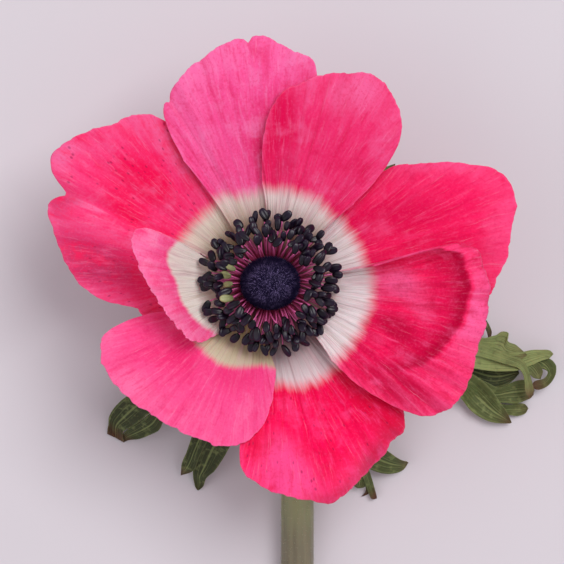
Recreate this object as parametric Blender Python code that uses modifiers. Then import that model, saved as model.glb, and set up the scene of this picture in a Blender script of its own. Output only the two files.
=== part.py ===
"""A single cut anemone flower, laid down with its open head facing up.

Eight tepals in three overlapping levels, a domed centre, stamens in three rings,
three divided bracts and a soft stem that turns flat behind the head.
Lengths are written in millimetres and turned to metres where a mesh takes them.
The head's axis is x = y = 0 while the pieces are built; the last step slides
everything so that the middle of the box's underside is the origin.
"""

from dataclasses import dataclass
from math import cos, exp, pi, radians, sin

import bmesh
import bpy
from mathutils import Vector

MM = 0.001

# ---- driving dimensions, in millimetres and degrees ----
BLADE_THICKNESS = 0.5
GAP = 0.35

STEM_RADIUS = 3.2
STEM_CUT_Y = -112.0
NECK_BEND_RADIUS = 12.0
STEM_SIDE_STEP = 5.2
STEM_SIDE_STEP_LENGTH = 30.0
STEM_BACK_CURVE_Y = -50.0
STEM_BACK_CURVE = 2.5

RECEPTACLE_RADIUS = 4.8
RECEPTACLE_FOOT_Z = 18.6
RECEPTACLE_SHOULDER_Z = 22.4
RECEPTACLE_TOP_Z = 24.0
RECEPTACLE_TOP_RADIUS = 2.9

TEPAL_FOOT_RADIUS = 5.4
TEPAL_FOOT_Z = 19.8
TEPAL_LEVEL_STEP = 1.25
CLAW_HALF_WIDTH = 4.0
BOWL_RISE = 12.0
BOWL_REACH = 40.0
STAND_START_RADIUS = 12.5
STAND_WIDTH = 7.0
LIP_START, LIP_END, LIP_DROOP_START = 0.76, 0.90, 0.88

BRACT_FOOT_RADIUS = 3.8
BRACT_FOOT_Z = 16.2
BRACT_HUMP = 2.0
BRACT_TIP_Z = BLADE_THICKNESS / 2

DOME_HALF_LENGTH = 5.6
DOME_HALF_WIDTH = 4.9
DOME_CENTRE_Z = 28.0
DOME_HALF_HEIGHT = 3.9
DOME_BASE_Z = RECEPTACLE_TOP_Z + GAP

FILAMENT_RADIUS = 0.22
ANTHER_RADIUS = 0.68
ANTHER_LENGTH = 2.3
ANTHER_TILT = 0.25


@dataclass(frozen=True)
class Tepal:
    """One tepal: a fan from its claw, with its rim as (angle, reach) points."""

    name: str
    azimuth: float
    level: int
    rim: tuple
    lip_step: float = 0.0
    lip_droop: float = 0.0
    stand: float = 0.0
    left_edge: float = 0.0
    right_edge: float = 0.0


@dataclass(frozen=True)
class Bract:
    """One divided bract: its lobes as (azimuth, reach) points, notches between them."""

    name: str
    touch_radius: float
    rim: tuple


@dataclass(frozen=True)
class StamenRing:
    """Stamens of one length, evenly spaced round the dome."""

    count: int
    first_azimuth: float
    foot_radius: float
    foot_z: float
    tip_radius: float
    tip_z: float
    bow: float


TEPALS = (
    Tepal("tepal_top_left", 98, 1, left_edge=0.8, rim=(
        (-33, 12), (-28, 26), (-25, 32.7), (-15, 37.6), (-6, 39.9), (0, 39.6),
        (11, 37.4), (23, 34.1), (29, 30.8), (33, 23))),
    Tepal("tepal_top_right", 68, 2, left_edge=0.6, right_edge=0.6, rim=(
        (-32, 16.4), (-28, 24.8), (-24, 30.1), (-16, 34.5), (-8, 36.8), (4, 35.1),
        (15, 32), (26, 27), (32, 20), (36, 14))),
    Tepal("tepal_right", 14, 0, rim=(
        (-29, 18), (-24, 30.7), (-14, 36.7), (-2, 40), (8, 42.5), (14, 41.2),
        (20, 37), (28, 31), (36, 26), (42, 19))),
    Tepal("tepal_lower_right", -22, 2, lip_step=5.2, lip_droop=2.2, right_edge=1.2, rim=(
        (-40, 14), (-30, 24.3), (-22, 32), (-10, 35), (4, 34.2), (18, 34.7),
        (30, 34.2), (38, 31.5), (41, 26), (42, 18))),
    Tepal("tepal_bottom", -78, 0, rim=(
        (-31, 17), (-26, 27.8), (-18, 31.8), (-5, 34.5), (4, 36.4), (15, 34.4),
        (29, 32.2), (39, 30.4), (44, 25), (46, 17))),
    Tepal("tepal_bottom_left", -133, 1, rim=(
        (-42, 18.5), (-37, 26.2), (-29, 28.8), (-15, 28.7), (0, 27.3), (20, 26.5),
        (38, 26), (48, 23), (57, 17.5), (64, 13))),
    Tepal("tepal_left_inner", 186, 2, stand=13.0, rim=(
        (-43, 12), (-40, 17.5), (-36, 20.6), (-30, 21), (-22, 19.4), (-5, 16.2), (12, 14.4),
        (30, 13.6), (46, 13), (56, 10.5), (62, 8.5))),
    Tepal("tepal_left", 160, 0, rim=(
        (-50, 20), (-44, 30.5), (-36, 35), (-28, 36.5), (-18, 40), (-11, 41),
        (-4, 36), (2, 38), (10, 35), (20, 31.5), (30, 27), (38, 21), (45, 16))),
)

BRACTS = (
    Bract("bract_right", 46, (
        (-72, 16), (-66, 46.5), (-61, 30), (-58, 17), (-54, 44), (-49, 30),
        (-42, 18), (-34, 48), (-30, 54.5), (-24, 33), (-21, 20), (-16, 57),
        (-12, 52), (-8, 24), (-5, 44), (-1, 14))),
    Bract("bract_left", 43, (
        (-172, 14), (-166, 24), (-160, 26), (-152, 24), (-147, 16), (-140, 43),
        (-137, 40), (-132, 43.5), (-126, 36), (-123, 17), (-116, 41),
        (-113, 38.5), (-109, 43), (-104, 30), (-101, 14))),
    Bract("bract_top", 37, (
        (38, 14), (44, 35), (50, 28), (56, 16), (64, 36), (70, 37.5), (77, 17),
        (86, 38), (94, 37), (101, 16), (110, 38), (118, 36), (128, 14))),
)

STAMEN_RINGS = (
    StamenRing(20, 4, 4.7, 23.5, 12.3, 25.7, 2.4),
    StamenRing(14, 0, 4.3, 24.2, 10.1, 27.5, 1.2),
    StamenRing(12, 9, 4.1, 24.8, 8.4, 28.9, 0.0),
)

TEPAL_ROWS, TEPAL_COLUMNS = 9, 14
BRACT_ROWS = 6
STEM_ROUNDNESS, STAMEN_ROUNDNESS = 4, 1
STEM_POINTS_ALONG = 22
STEM_POINTS_IN_BEND = 8


def clear_scene():
    """Remove every object of the start-up scene."""
    for item in list(bpy.data.objects):
        bpy.data.objects.remove(item, do_unlink=True)


def linear(hex_colour):
    """Turn an sRGB hex colour to linear RGBA."""
    channels = [int(hex_colour[i:i + 2], 16) / 255 for i in (1, 3, 5)]
    return [c / 12.92 if c <= 0.04045 else ((c + 0.055) / 1.055) ** 2.4 for c in channels] + [1.0]


def material(name, hex_colour, roughness):
    """A plain Principled material."""
    result = bpy.data.materials.new(name)
    result.use_nodes = True
    shader = result.node_tree.nodes["Principled BSDF"]
    shader.inputs["Base Color"].default_value = linear(hex_colour)
    shader.inputs["Roughness"].default_value = roughness
    shader.inputs["Metallic"].default_value = 0.0
    return result


def add_object(name, data, finish, parts, parent):
    """Link a mesh or curve as one named piece with its own copy of a finish."""
    data.materials.append(finish)
    piece = bpy.data.objects.new(name, data)
    parts.objects.link(piece)
    piece.parent = parent
    return piece


def turn(azimuth, radius, z):
    """A point at an azimuth and radius about the head's axis."""
    return Vector((radius * cos(radians(azimuth)), radius * sin(radians(azimuth)), z))


def smooth(x):
    """0 below 0, 1 above 1, and an S between."""
    x = min(max(x, 0.0), 1.0)
    return x * x * (3 - 2 * x)


def reach_at(rim, angle):
    """The rim's reach at an angle: an eased curve from each rim point to the next."""
    for (a0, r0), (a1, r1) in zip(rim, rim[1:]):
        if angle <= a1:
            share = max((angle - a0) / (a1 - a0), 0.0)
            return r0 + (r1 - r0) * (0.5 * share + 0.5 * smooth(share))
    return rim[-1][1]


def bowl(radius):
    """Rise of the flower's shallow bowl at a distance from the axis."""
    return BOWL_RISE * smooth((radius - TEPAL_FOOT_RADIUS) / BOWL_REACH)


def tepal_point(tepal, u, v):
    """u runs 0..1 from claw to rim and v runs -1..1 across, clockwise edge first."""
    first, last = tepal.rim[0][0], tepal.rim[-1][0]
    angle = (first + last) / 2 + (last - first) / 2 * sin(v * pi / 2)
    reach = reach_at(tepal.rim, angle)
    foot = turn(tepal.azimuth, TEPAL_FOOT_RADIUS, 0)
    side = turn(tepal.azimuth + 90, CLAW_HALF_WIDTH * v * (1 - u) ** 2, 0)
    point = foot + side + turn(tepal.azimuth + angle, reach * u, 0)
    from_axis = point.length
    z = TEPAL_FOOT_Z + TEPAL_LEVEL_STEP * tepal.level + bowl(from_axis)
    z += tepal.stand * (1 - exp(-(max(from_axis - STAND_START_RADIUS, 0) / STAND_WIDTH) ** 2))
    z += (tepal.left_edge * max(v, 0) ** 2 + tepal.right_edge * min(v, 0) ** 2) * u ** 2
    lip = smooth((v + 0.9) / 0.9)
    z += lip * tepal.lip_step * smooth((u - LIP_START) / (LIP_END - LIP_START))
    z -= lip * tepal.lip_droop * max((u - LIP_DROOP_START) / (1 - LIP_DROOP_START), 0) ** 2
    return Vector((point.x, point.y, z))


def bract_point(bract, u, v):
    """u runs 0..1 from the stem to the rim, and v runs -1..1 from rim point to rim point."""
    azimuth, reach = bract.rim[round((v + 1) / 2 * (len(bract.rim) - 1))]
    radius = BRACT_FOOT_RADIUS + (reach - BRACT_FOOT_RADIUS) * u
    share = min(radius / bract.touch_radius, 1.0)
    z = BRACT_FOOT_Z + BRACT_HUMP * share
    z -= (BRACT_FOOT_Z + BRACT_HUMP - BRACT_TIP_Z) * share ** 2.4
    return turn(azimuth, radius, z)


def sheet(name, rows, columns, place):
    """A grid mesh whose points place(u, v) gives, u in 0..1 and v in -1..1."""
    work = bmesh.new()
    bmesh.ops.create_grid(work, x_segments=rows, y_segments=columns, size=1.0)
    for vertex in work.verts:
        vertex.co = place((vertex.co.x + 1) / 2, vertex.co.y) * MM
    mesh = bpy.data.meshes.new(name)
    work.to_mesh(mesh)
    work.free()
    mesh.shade_smooth()
    return mesh


def add_blade_wall(piece):
    """Give an open sheet its thickness, half to each side."""
    wall = piece.modifiers.new("blade_thickness", "SOLIDIFY")
    wall.thickness = BLADE_THICKNESS * MM
    wall.offset = 0.0


def make_tepals(parts, root):
    for tepal in TEPALS:
        mesh = sheet(tepal.name, TEPAL_ROWS, TEPAL_COLUMNS,
                     lambda u, v, t=tepal: tepal_point(t, u, v))
        finish = material(tepal.name, "#f4306f", 0.55)
        add_blade_wall(add_object(tepal.name, mesh, finish, parts, root))


def make_bracts(parts, root):
    for bract in BRACTS:
        mesh = sheet(bract.name, BRACT_ROWS, len(bract.rim) - 1,
                     lambda u, v, b=bract: bract_point(b, u, v))
        finish = material(bract.name, "#59653a", 0.6)
        add_blade_wall(add_object(bract.name, mesh, finish, parts, root))


def tube(name, stations, bevel_resolution):
    """A capped tube through (point, radius) stations, lengths in millimetres."""
    curve = bpy.data.curves.new(name, "CURVE")
    curve.dimensions = "3D"
    curve.bevel_depth = MM
    curve.bevel_resolution = bevel_resolution
    curve.use_fill_caps = True
    line = curve.splines.new("POLY")
    line.points.add(len(stations) - 1)
    for target, (point, radius) in zip(line.points, stations):
        target.co = (*(point * MM), 1.0)
        target.radius = radius
    return curve


def stem_stations():
    """From the cut end along the floor, up through the neck and into the receptacle."""
    stations = []
    flat_start = Vector((0, -NECK_BEND_RADIUS, STEM_RADIUS))
    for i in range(STEM_POINTS_ALONG):
        share = i / STEM_POINTS_ALONG
        y = STEM_CUT_Y + (flat_start.y - STEM_CUT_Y) * share
        x = STEM_SIDE_STEP * smooth((flat_start.y - y) / STEM_SIDE_STEP_LENGTH)
        x -= STEM_BACK_CURVE * max((y - STEM_BACK_CURVE_Y) / (STEM_CUT_Y - STEM_BACK_CURVE_Y), 0) ** 2
        stations.append((Vector((x, y, STEM_RADIUS)), STEM_RADIUS))
    for i in range(STEM_POINTS_IN_BEND + 1):
        bend = pi / 2 * i / STEM_POINTS_IN_BEND
        y = NECK_BEND_RADIUS * (sin(bend) - 1)
        z = STEM_RADIUS + NECK_BEND_RADIUS * (1 - cos(bend))
        stations.append((Vector((0, y, z)), STEM_RADIUS - 0.1 * bend))
    for z, radius in (
        (RECEPTACLE_FOOT_Z, STEM_RADIUS - 0.1),
        (RECEPTACLE_FOOT_Z + 1.2, RECEPTACLE_RADIUS - 0.4),
        (RECEPTACLE_FOOT_Z + 2.2, RECEPTACLE_RADIUS),
        (RECEPTACLE_SHOULDER_Z, RECEPTACLE_RADIUS),
        (RECEPTACLE_SHOULDER_Z + 0.6, RECEPTACLE_RADIUS - 1.0),
        (RECEPTACLE_TOP_Z, RECEPTACLE_TOP_RADIUS),
    ):
        stations.append((Vector((0, 0, z)), radius))
    return stations


def make_stem(parts, root):
    curve = tube("stem", stem_stations(), STEM_ROUNDNESS)
    add_object("stem", curve, material("stem", "#7f7e5f", 0.65), parts, root)


def make_dome(parts, root):
    """An oval dome with a flat underside, standing on the receptacle."""
    work = bmesh.new()
    bmesh.ops.create_uvsphere(work, u_segments=18, v_segments=12, radius=1.0)
    for vertex in work.verts:
        x, y, z = vertex.co
        height = max(DOME_CENTRE_Z + DOME_HALF_HEIGHT * z, DOME_BASE_Z)
        vertex.co = Vector((x * DOME_HALF_LENGTH, y * DOME_HALF_WIDTH, height)) * MM
    mesh = bpy.data.meshes.new("carpel_dome")
    work.to_mesh(mesh)
    work.free()
    mesh.shade_smooth()
    add_object("carpel_dome", mesh, material("carpel_dome", "#2a1b36", 0.6), parts, root)


def stamen_stations(ring, azimuth):
    """A filament that arches outwards and swells into its anther."""
    foot = (ring.foot_radius, ring.foot_z)
    tip = (ring.tip_radius, ring.tip_z)
    start = (ring.tip_radius - ANTHER_LENGTH / 2, ring.tip_z - ANTHER_TILT)
    stations = []
    for share in (0.0, 0.35, 0.7, 1.0):
        radius = foot[0] + (start[0] - foot[0]) * share
        z = foot[1] + (start[1] - foot[1]) * share + ring.bow * share * (1 - share)
        stations.append((turn(azimuth, radius, z), FILAMENT_RADIUS))
    for along, swell in ((0.12, 0.8), (0.5, 1.0), (0.88, 0.8), (1.0, 0.35)):
        radius = start[0] + ANTHER_LENGTH * along
        z = start[1] + (tip[1] - start[1]) * min(along * 2, 1)
        stations.append((turn(azimuth, radius, z), ANTHER_RADIUS * swell))
    return stations


def make_stamens(parts, root):
    number = 0
    for ring in STAMEN_RINGS:
        for i in range(ring.count):
            number += 1
            name = f"stamen_{number:02d}"
            azimuth = ring.first_azimuth + 360 * i / ring.count
            curve = tube(name, stamen_stations(ring, azimuth), STAMEN_ROUNDNESS)
            add_object(name, curve, material(name, "#17131c", 0.4), parts, root)


def centre_on_origin(parts, root):
    """Slide the root so that the middle of the box's underside is the origin."""
    bpy.context.view_layer.update()
    graph = bpy.context.evaluated_depsgraph_get()
    low = Vector((1e9, 1e9, 1e9))
    high = -low
    for piece in parts.objects:
        if piece.type == "EMPTY":
            continue
        shape = piece.evaluated_get(graph)
        mesh = shape.to_mesh()
        for vertex in mesh.vertices:
            place = shape.matrix_world @ vertex.co
            low = Vector(map(min, low, place))
            high = Vector(map(max, high, place))
        shape.to_mesh_clear()
    root.location = (-(low.x + high.x) / 2, -(low.y + high.y) / 2, -low.z)


def main():
    clear_scene()
    parts = bpy.data.collections.new("anemone_flower")
    bpy.context.scene.collection.children.link(parts)
    root = bpy.data.objects.new("flower_root", None)
    parts.objects.link(root)
    make_stem(parts, root)
    make_bracts(parts, root)
    make_tepals(parts, root)
    make_dome(parts, root)
    make_stamens(parts, root)
    centre_on_origin(parts, root)


main()
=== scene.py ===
"""A pink anemone, cut and laid down with its open face up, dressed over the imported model.

All shapes are worked out in millimetres about the head's own axis (x and y) and the
surface that the flower lies on (z), and are turned to metres when a mesh is made.
"""

import logging
from dataclasses import dataclass, field
from enum import Enum
from math import pi

import bmesh
import bpy
import numpy as np
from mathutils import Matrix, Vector


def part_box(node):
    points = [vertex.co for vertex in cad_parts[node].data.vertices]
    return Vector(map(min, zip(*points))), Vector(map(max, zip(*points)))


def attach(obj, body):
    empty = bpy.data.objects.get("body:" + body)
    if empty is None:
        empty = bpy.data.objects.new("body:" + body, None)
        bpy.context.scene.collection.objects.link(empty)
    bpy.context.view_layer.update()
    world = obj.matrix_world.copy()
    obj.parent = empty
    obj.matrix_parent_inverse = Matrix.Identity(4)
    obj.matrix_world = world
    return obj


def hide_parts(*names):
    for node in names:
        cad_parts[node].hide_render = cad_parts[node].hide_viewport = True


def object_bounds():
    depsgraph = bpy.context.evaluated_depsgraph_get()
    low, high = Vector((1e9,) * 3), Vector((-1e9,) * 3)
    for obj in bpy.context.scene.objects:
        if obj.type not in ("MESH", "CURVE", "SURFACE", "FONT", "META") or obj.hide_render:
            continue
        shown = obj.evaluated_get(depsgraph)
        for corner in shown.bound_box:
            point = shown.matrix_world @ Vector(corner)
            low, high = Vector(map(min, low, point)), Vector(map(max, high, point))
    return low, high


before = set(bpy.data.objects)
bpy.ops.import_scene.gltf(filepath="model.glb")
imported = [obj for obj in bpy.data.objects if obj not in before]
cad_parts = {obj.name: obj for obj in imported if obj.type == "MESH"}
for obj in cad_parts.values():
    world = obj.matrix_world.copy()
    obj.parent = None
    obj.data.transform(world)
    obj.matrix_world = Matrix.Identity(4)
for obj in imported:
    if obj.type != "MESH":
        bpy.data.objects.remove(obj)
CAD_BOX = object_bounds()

LOG = logging.getLogger("anemone")
MM = 0.001
POLE_GAP = 1e-7
NEARLY_UP = (0.02, 0.01, 1.0)
AWAY_FROM_HAIRS = (0.31, 0.17, 0.93)
Array = np.ndarray
Socket = bpy.types.NodeSocket
Paint = str | bpy.types.NodeSocket


# ---------------------------------------------------------------- numeric tools


def smooth(x: Array) -> Array:
    """0 below 0, 1 above 1, and the S curve 3x^2 - 2x^3 between."""
    x = np.clip(x, 0.0, 1.0)
    return x * x * (3.0 - 2.0 * x)


def bell(x: Array) -> Array:
    """A hump of height 1 at 0: e to the minus x squared."""
    return np.exp(-np.square(x))


def curve_through(knots: tuple, x: Array) -> Array:
    """A smooth curve through a few (place, value) knots.

    Each stretch is a cubic whose end slopes are those of the straight line between
    the knots on either side (Catmull and Rom's rule).

    Args:
        knots: (place, value) pairs in rising order of place.
        x: where to read the curve.

    Returns:
        The curve's value at each x.
    """
    places, values = np.array(knots, float).T
    slopes = np.gradient(values, places)
    left = np.clip(np.searchsorted(places, x) - 1, 0, len(places) - 2)
    width = places[left + 1] - places[left]
    t = np.clip((x - places[left]) / width, 0.0, 1.0)
    rise = (2 * t**3 - 3 * t**2 + 1) * values[left] + (3 * t**2 - 2 * t**3) * values[left + 1]
    lean = (t**3 - 2 * t**2 + t) * slopes[left] + (t**3 - t**2) * slopes[left + 1]
    return rise + lean * width


def waves(x: Array, seed: int, slowest: float, count: int = 6) -> Array:
    """An irregular wave between about -1 and 1.

    It is a sum of sines, each 1.6 times quicker and 0.75 times as high as the last,
    with phases drawn from a seeded generator.

    Args:
        x: where to read the wave.
        seed: which set of phases.
        slowest: cycles per unit of x of the first sine.
        count: how many sines.

    Returns:
        The wave's height at each x.
    """
    draw = np.random.default_rng(seed)
    phases = draw.uniform(0, 2 * pi, count)
    powers = np.arange(count)
    heights = 0.75**powers
    turns = 2 * pi * slowest * 1.6**powers * draw.uniform(0.9, 1.1, count)
    total = np.sin(np.multiply.outer(x, turns) + phases) @ heights
    spread = np.sqrt(np.square(heights).sum() / 2)
    return total / spread / 2


def ring_turns(count: int) -> Array:
    """Angles of a full turn in equal steps, in radians."""
    return np.arange(count) * 2 * pi / count


def unit(vectors: Array) -> Array:
    """Each vector of the last axis at length 1."""
    return vectors / np.maximum(np.linalg.norm(vectors, axis=-1, keepdims=True), 1e-9)


def polar(degrees: Array, radius: Array, z: Array) -> Array:
    """Points at an azimuth, a distance from the axis and a height."""
    turn = np.radians(degrees)
    return np.stack(np.broadcast_arrays(radius * np.cos(turn), radius * np.sin(turn), z), -1)


# ---------------------------------------------------------------- meshes


@dataclass
class Shape:
    """Points in millimetres, their faces, and named numbers on each point."""

    points: Array
    faces: list
    facts: dict = field(default_factory=dict)
    dressing: Array | None = None

    def dressed(self, index: int) -> "Shape":
        """The same shape with all its faces on one material index."""
        self.dressing = np.full(sum(len(f) for f in self.faces), index)
        return self

    @staticmethod
    def joined(shapes: list["Shape"]) -> "Shape":
        """Several shapes as one, in order.

        Args:
            shapes: shapes that carry the same facts.

        Returns:
            One shape that holds them all as separate bodies.
        """
        starts = np.cumsum([0] + [len(s.points) for s in shapes[:-1]])
        faces = [f + start for s, start in zip(shapes, starts) for f in s.faces]
        facts = {k: np.concatenate([s.facts[k] for s in shapes]) for k in shapes[0].facts}
        dressing = None
        if shapes[0].dressing is not None:
            dressing = np.concatenate([s.dressing for s in shapes])
        return Shape(np.concatenate([s.points for s in shapes]), faces, facts, dressing)


def grid_faces(rows: int, columns: int, wrap: bool = False) -> Array:
    """Four-sided faces over a grid of points that is numbered row by row.

    Args:
        rows: number of rows of points.
        columns: number of points in a row.
        wrap: whether the last column joins the first.

    Returns:
        An (n, 4) array of point numbers, facing along rows x columns.
    """
    i = np.arange(rows - 1)[:, None] * columns
    j = np.arange(columns if wrap else columns - 1)[None, :]
    k = (j + 1) % columns
    return np.stack([i + j, i + columns + j, i + columns + k, i + k], -1).reshape(-1, 4)


def shell(top: Array, thickness: Array, facts: dict) -> Shape:
    """A closed sheet: a top grid, an underside set back along its normal, and their edge.

    Args:
        top: (rows, columns, 3) points, with rows x columns pointing up.
        thickness: (rows, columns) wall thickness.
        facts: (rows, columns) numbers that both sides carry.

    Returns:
        The closed shape, with a fact "back" that is 0 on top and 1 underneath.
    """
    rows, columns = top.shape[:2]
    normal = unit(np.cross(np.gradient(top, axis=0), np.gradient(top, axis=1)))
    under = top - normal * thickness[..., None]
    count = rows * columns
    faces = grid_faces(rows, columns)
    number = np.arange(count).reshape(rows, columns)
    loop = np.concatenate(
        [number[:, 0], number[-1, 1:], number[-2::-1, -1], number[0, -2:0:-1]]
    )
    ahead = np.roll(loop, -1)
    edge = np.stack([ahead, loop, loop + count, ahead + count], -1)
    both = {name: np.tile(value.ravel(), 2) for name, value in facts.items()}
    both["back"] = np.repeat([0.0, 1.0], count)
    points = np.concatenate([top.reshape(-1, 3), under.reshape(-1, 3)])
    return Shape(points, [faces, faces[:, ::-1] + count, edge], both)


def strands(paths: Array, radii: Array, sides: int, facts: dict) -> Shape:
    """Round strands, one along each path, closed at both ends by a point.

    A ring of points stands square to the path at each station; its first direction
    is square to both the path and a line that is nearly +Z.

    Args:
        paths: (strands, stations, 3) centre lines.
        radii: (strands, stations) radii.
        sides: points in a ring.
        facts: (strands, stations) numbers for the rings.

    Returns:
        All strands as one shape.
    """
    count, stations = paths.shape[:2]
    ahead = unit(np.gradient(paths, axis=1))
    beside = unit(np.cross(ahead, NEARLY_UP))
    above = np.cross(beside, ahead)
    turn = ring_turns(sides)[:, None]
    ring = beside[:, :, None] * np.cos(turn) + above[:, :, None] * np.sin(turn)
    points = paths[:, :, None] + ring * radii[:, :, None, None]
    points = points.reshape(count, stations * sides, 3)
    points = np.concatenate([points, paths[:, :1], paths[:, -1:]], 1)
    body = grid_faces(stations, sides, wrap=True)
    j = np.arange(sides)
    k = (j + 1) % sides
    last = (stations - 1) * sides
    foot = np.stack([np.full(sides, stations * sides), k, j], -1)
    tip = np.stack([np.full(sides, stations * sides + 1), last + j, last + k], -1)
    step = (np.arange(count) * (stations * sides + 2))[:, None, None]
    kinds = (body, foot[:, ::-1], tip[:, ::-1])
    faces = [(kind[None] + step).reshape(-1, kind.shape[1]) for kind in kinds]
    spread = {
        name: np.concatenate([np.repeat(value, sides, 1), value[:, :1], value[:, -1:]], 1).ravel()
        for name, value in facts.items()
    }
    return Shape(points.reshape(-1, 3), faces, spread)


def copies(local: Shape, origins: Array, frames: Array) -> Shape:
    """Copies of one shape, each turned by its frame and moved to its origin.

    Args:
        local: the shape about its own origin.
        origins: (n, 3) places.
        frames: (n, 3, 3), whose rows are where local x, y and z point.

    Returns:
        All copies as one shape; the facts repeat.
    """
    count, size = len(origins), len(local.points)
    points = np.einsum("pi,nij->npj", local.points, frames) + origins[:, None]
    step = (np.arange(count) * size)[:, None, None]
    faces = [(f[None] + step).reshape(-1, f.shape[1]) for f in local.faces]
    facts = {name: np.tile(value, count) for name, value in local.facts.items()}
    return Shape(points.reshape(-1, 3), faces, facts)


def spikes(roots: Array, ways: Array, width: float, facts: dict) -> Shape:
    """Three-sided hairs that taper from a root to a point.

    Args:
        roots: (n, 3) roots.
        ways: (n, 3) direction times length.
        width: radius at the root.
        facts: (n,) numbers, the same at root and tip.

    Returns:
        All hairs as one shape, with a fact "along" that is 0 at the root and 1 at the tip.
    """
    count = len(roots)
    beside = unit(np.cross(ways, AWAY_FROM_HAIRS))
    above = unit(np.cross(beside, ways))
    turn = ring_turns(3)[:, None]
    ring = beside[:, None] * np.cos(turn) + above[:, None] * np.sin(turn)
    points = np.concatenate([roots[:, None] + ring * width, (roots + ways)[:, None]], 1)
    step = (np.arange(count) * 4)[:, None, None]
    faces = np.array([[0, 3, 1], [1, 3, 2], [2, 3, 0], [0, 1, 2]])[None] + step
    spread = {name: np.repeat(value, 4) for name, value in facts.items()}
    spread["along"] = np.tile([0.0, 0.0, 0.0, 1.0], count)
    return Shape(points.reshape(-1, 3), [faces.reshape(-1, 3)], spread)


def make_piece(name: str, shape: Shape, finishes: list, nodes: list[str]) -> None:
    """Turn a shape into a mesh object that rides on the frame in place of its CAD nodes.

    Args:
        name: the piece's name.
        shape: the shape, in millimetres about the head.
        finishes: its materials, in the order of the shape's dressing.
        nodes: the CAD nodes that it stands for.
    """
    mesh = bpy.data.meshes.new(name)
    mesh.from_pydata(HEAD + shape.points * MM, [], [f for a in shape.faces for f in a.tolist()])
    for fact, value in shape.facts.items():
        store = mesh.attributes.new(fact, "FLOAT", "POINT")
        store.data.foreach_set("value", value.astype(np.float32))
    for finish in finishes:
        mesh.materials.append(finish)
    if shape.dressing is not None:
        mesh.polygons.foreach_set("material_index", shape.dressing.astype(np.int32))
    close_poles(mesh)
    mesh.shade_smooth()
    piece = bpy.data.objects.new(name, mesh)
    bpy.context.scene.collection.objects.link(piece)
    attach(piece, "root")
    if nodes:
        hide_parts(*nodes)
    LOG.info("%s: %d points, %d faces", name, len(mesh.vertices), len(mesh.polygons))


def close_poles(mesh: bpy.types.Mesh) -> None:
    """Merge the points that meet at a pole or a seam."""
    work = bmesh.new()
    work.from_mesh(mesh)
    bmesh.ops.remove_doubles(work, verts=work.verts, dist=POLE_GAP)
    work.to_mesh(mesh)
    work.free()


# ---------------------------------------------------------------- finishes


def linear(hex_colour: str) -> tuple:
    """An sRGB hex colour as linear RGBA."""
    channels = [int(hex_colour[i:i + 2], 16) / 255 for i in (1, 3, 5)]
    return (*(c / 12.92 if c <= 0.04045 else ((c + 0.055) / 1.055) ** 2.4 for c in channels), 1.0)


def add_node(tree: bpy.types.NodeTree, kind: str, inputs: dict | None = None,
             **settings) -> bpy.types.Node:
    """Add a node, set its properties and fill its inputs.

    Args:
        tree: the material's node tree.
        kind: the node's type.
        inputs: socket name or number to a value, a hex colour or another node's output.
        settings: properties of the node itself.

    Returns:
        The new node.
    """
    node = tree.nodes.new(kind)
    for key, value in settings.items():
        setattr(node, key, value)
    for key, value in (inputs or {}).items():
        if isinstance(value, Socket):
            tree.links.new(value, node.inputs[key])
        elif isinstance(value, str):
            node.inputs[key].default_value = linear(value)
        else:
            node.inputs[key].default_value = value
    return node


def start_material(name: str, **sockets) -> tuple:
    """A material with an empty tree, a Principled shader and an output.

    Args:
        name: the material's name.
        sockets: the shader's constant values, with _ for a space in a socket's name.

    Returns:
        (material, tree, shader node).
    """
    material = bpy.data.materials.new(name)
    material.use_nodes = True
    tree = material.node_tree
    tree.nodes.clear()
    values = {key.replace("_", " "): value for key, value in sockets.items()}
    shader = add_node(tree, "ShaderNodeBsdfPrincipled", values)
    add_node(tree, "ShaderNodeOutputMaterial", {"Surface": shader.outputs["BSDF"]})
    return material, tree, shader


def read_surface(tree: bpy.types.NodeTree, *names: str) -> dict:
    """The numbers stored on a piece's points by name, and its coordinates as "place"."""
    facts = {
        name: add_node(tree, "ShaderNodeAttribute", attribute_name=name).outputs["Fac"]
        for name in names
    }
    facts["place"] = add_node(tree, "ShaderNodeTexCoord").outputs["Object"]
    return facts


def layered(tree: bpy.types.NodeTree, facts: dict, base: Paint, layers: list) -> Socket:
    """Colours laid over a base, each through a mask of its own.

    A mask is 0 where its fact is at start, its strength where the fact is at end, and
    an S curve between; start may be the larger one.

    Args:
        tree: the material's node tree.
        facts: outputs by name.
        base: the lowest colour.
        layers: (fact's name, start, end, strength, colour) of each layer, lowest first.

    Returns:
        The output that holds the finished colour.
    """
    colour = base
    for name, start, end, strength, tint in layers:
        mask = add_node(
            tree, "ShaderNodeMapRange",
            {"Value": facts[name], "From Min": start, "From Max": end, "To Max": strength},
            interpolation_type="SMOOTHSTEP",
        ).outputs["Result"]
        mixed = add_node(tree, "ShaderNodeMixRGB", {"Fac": mask, "Color1": colour, "Color2": tint})
        colour = mixed.outputs["Color"]
    return colour


def grained(tree: bpy.types.NodeTree, vector: Socket, size: tuple, detail: float,
            roughness: float = 0.5) -> Socket:
    """Noise drawn out over a surface.

    Args:
        tree: the material's node tree.
        vector: the coordinates that it follows.
        size: length of a grain along each axis, in the vector's own unit.
        detail: octaves of finer noise.
        roughness: how much each octave keeps of the one before.

    Returns:
        The noise's output, about 0.5 on average.
    """
    drawn = add_node(
        tree, "ShaderNodeMapping", {"Vector": vector, "Scale": tuple(1 / length for length in size)}
    ).outputs["Vector"]
    return add_node(
        tree, "ShaderNodeTexNoise",
        {"Vector": drawn, "Scale": 1.0, "Detail": detail, "Roughness": roughness},
    ).outputs["Fac"]


def even(millimetres: float) -> tuple:
    """A grain as long as it is wide and deep, in metres."""
    return (millimetres * MM,) * 3


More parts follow.
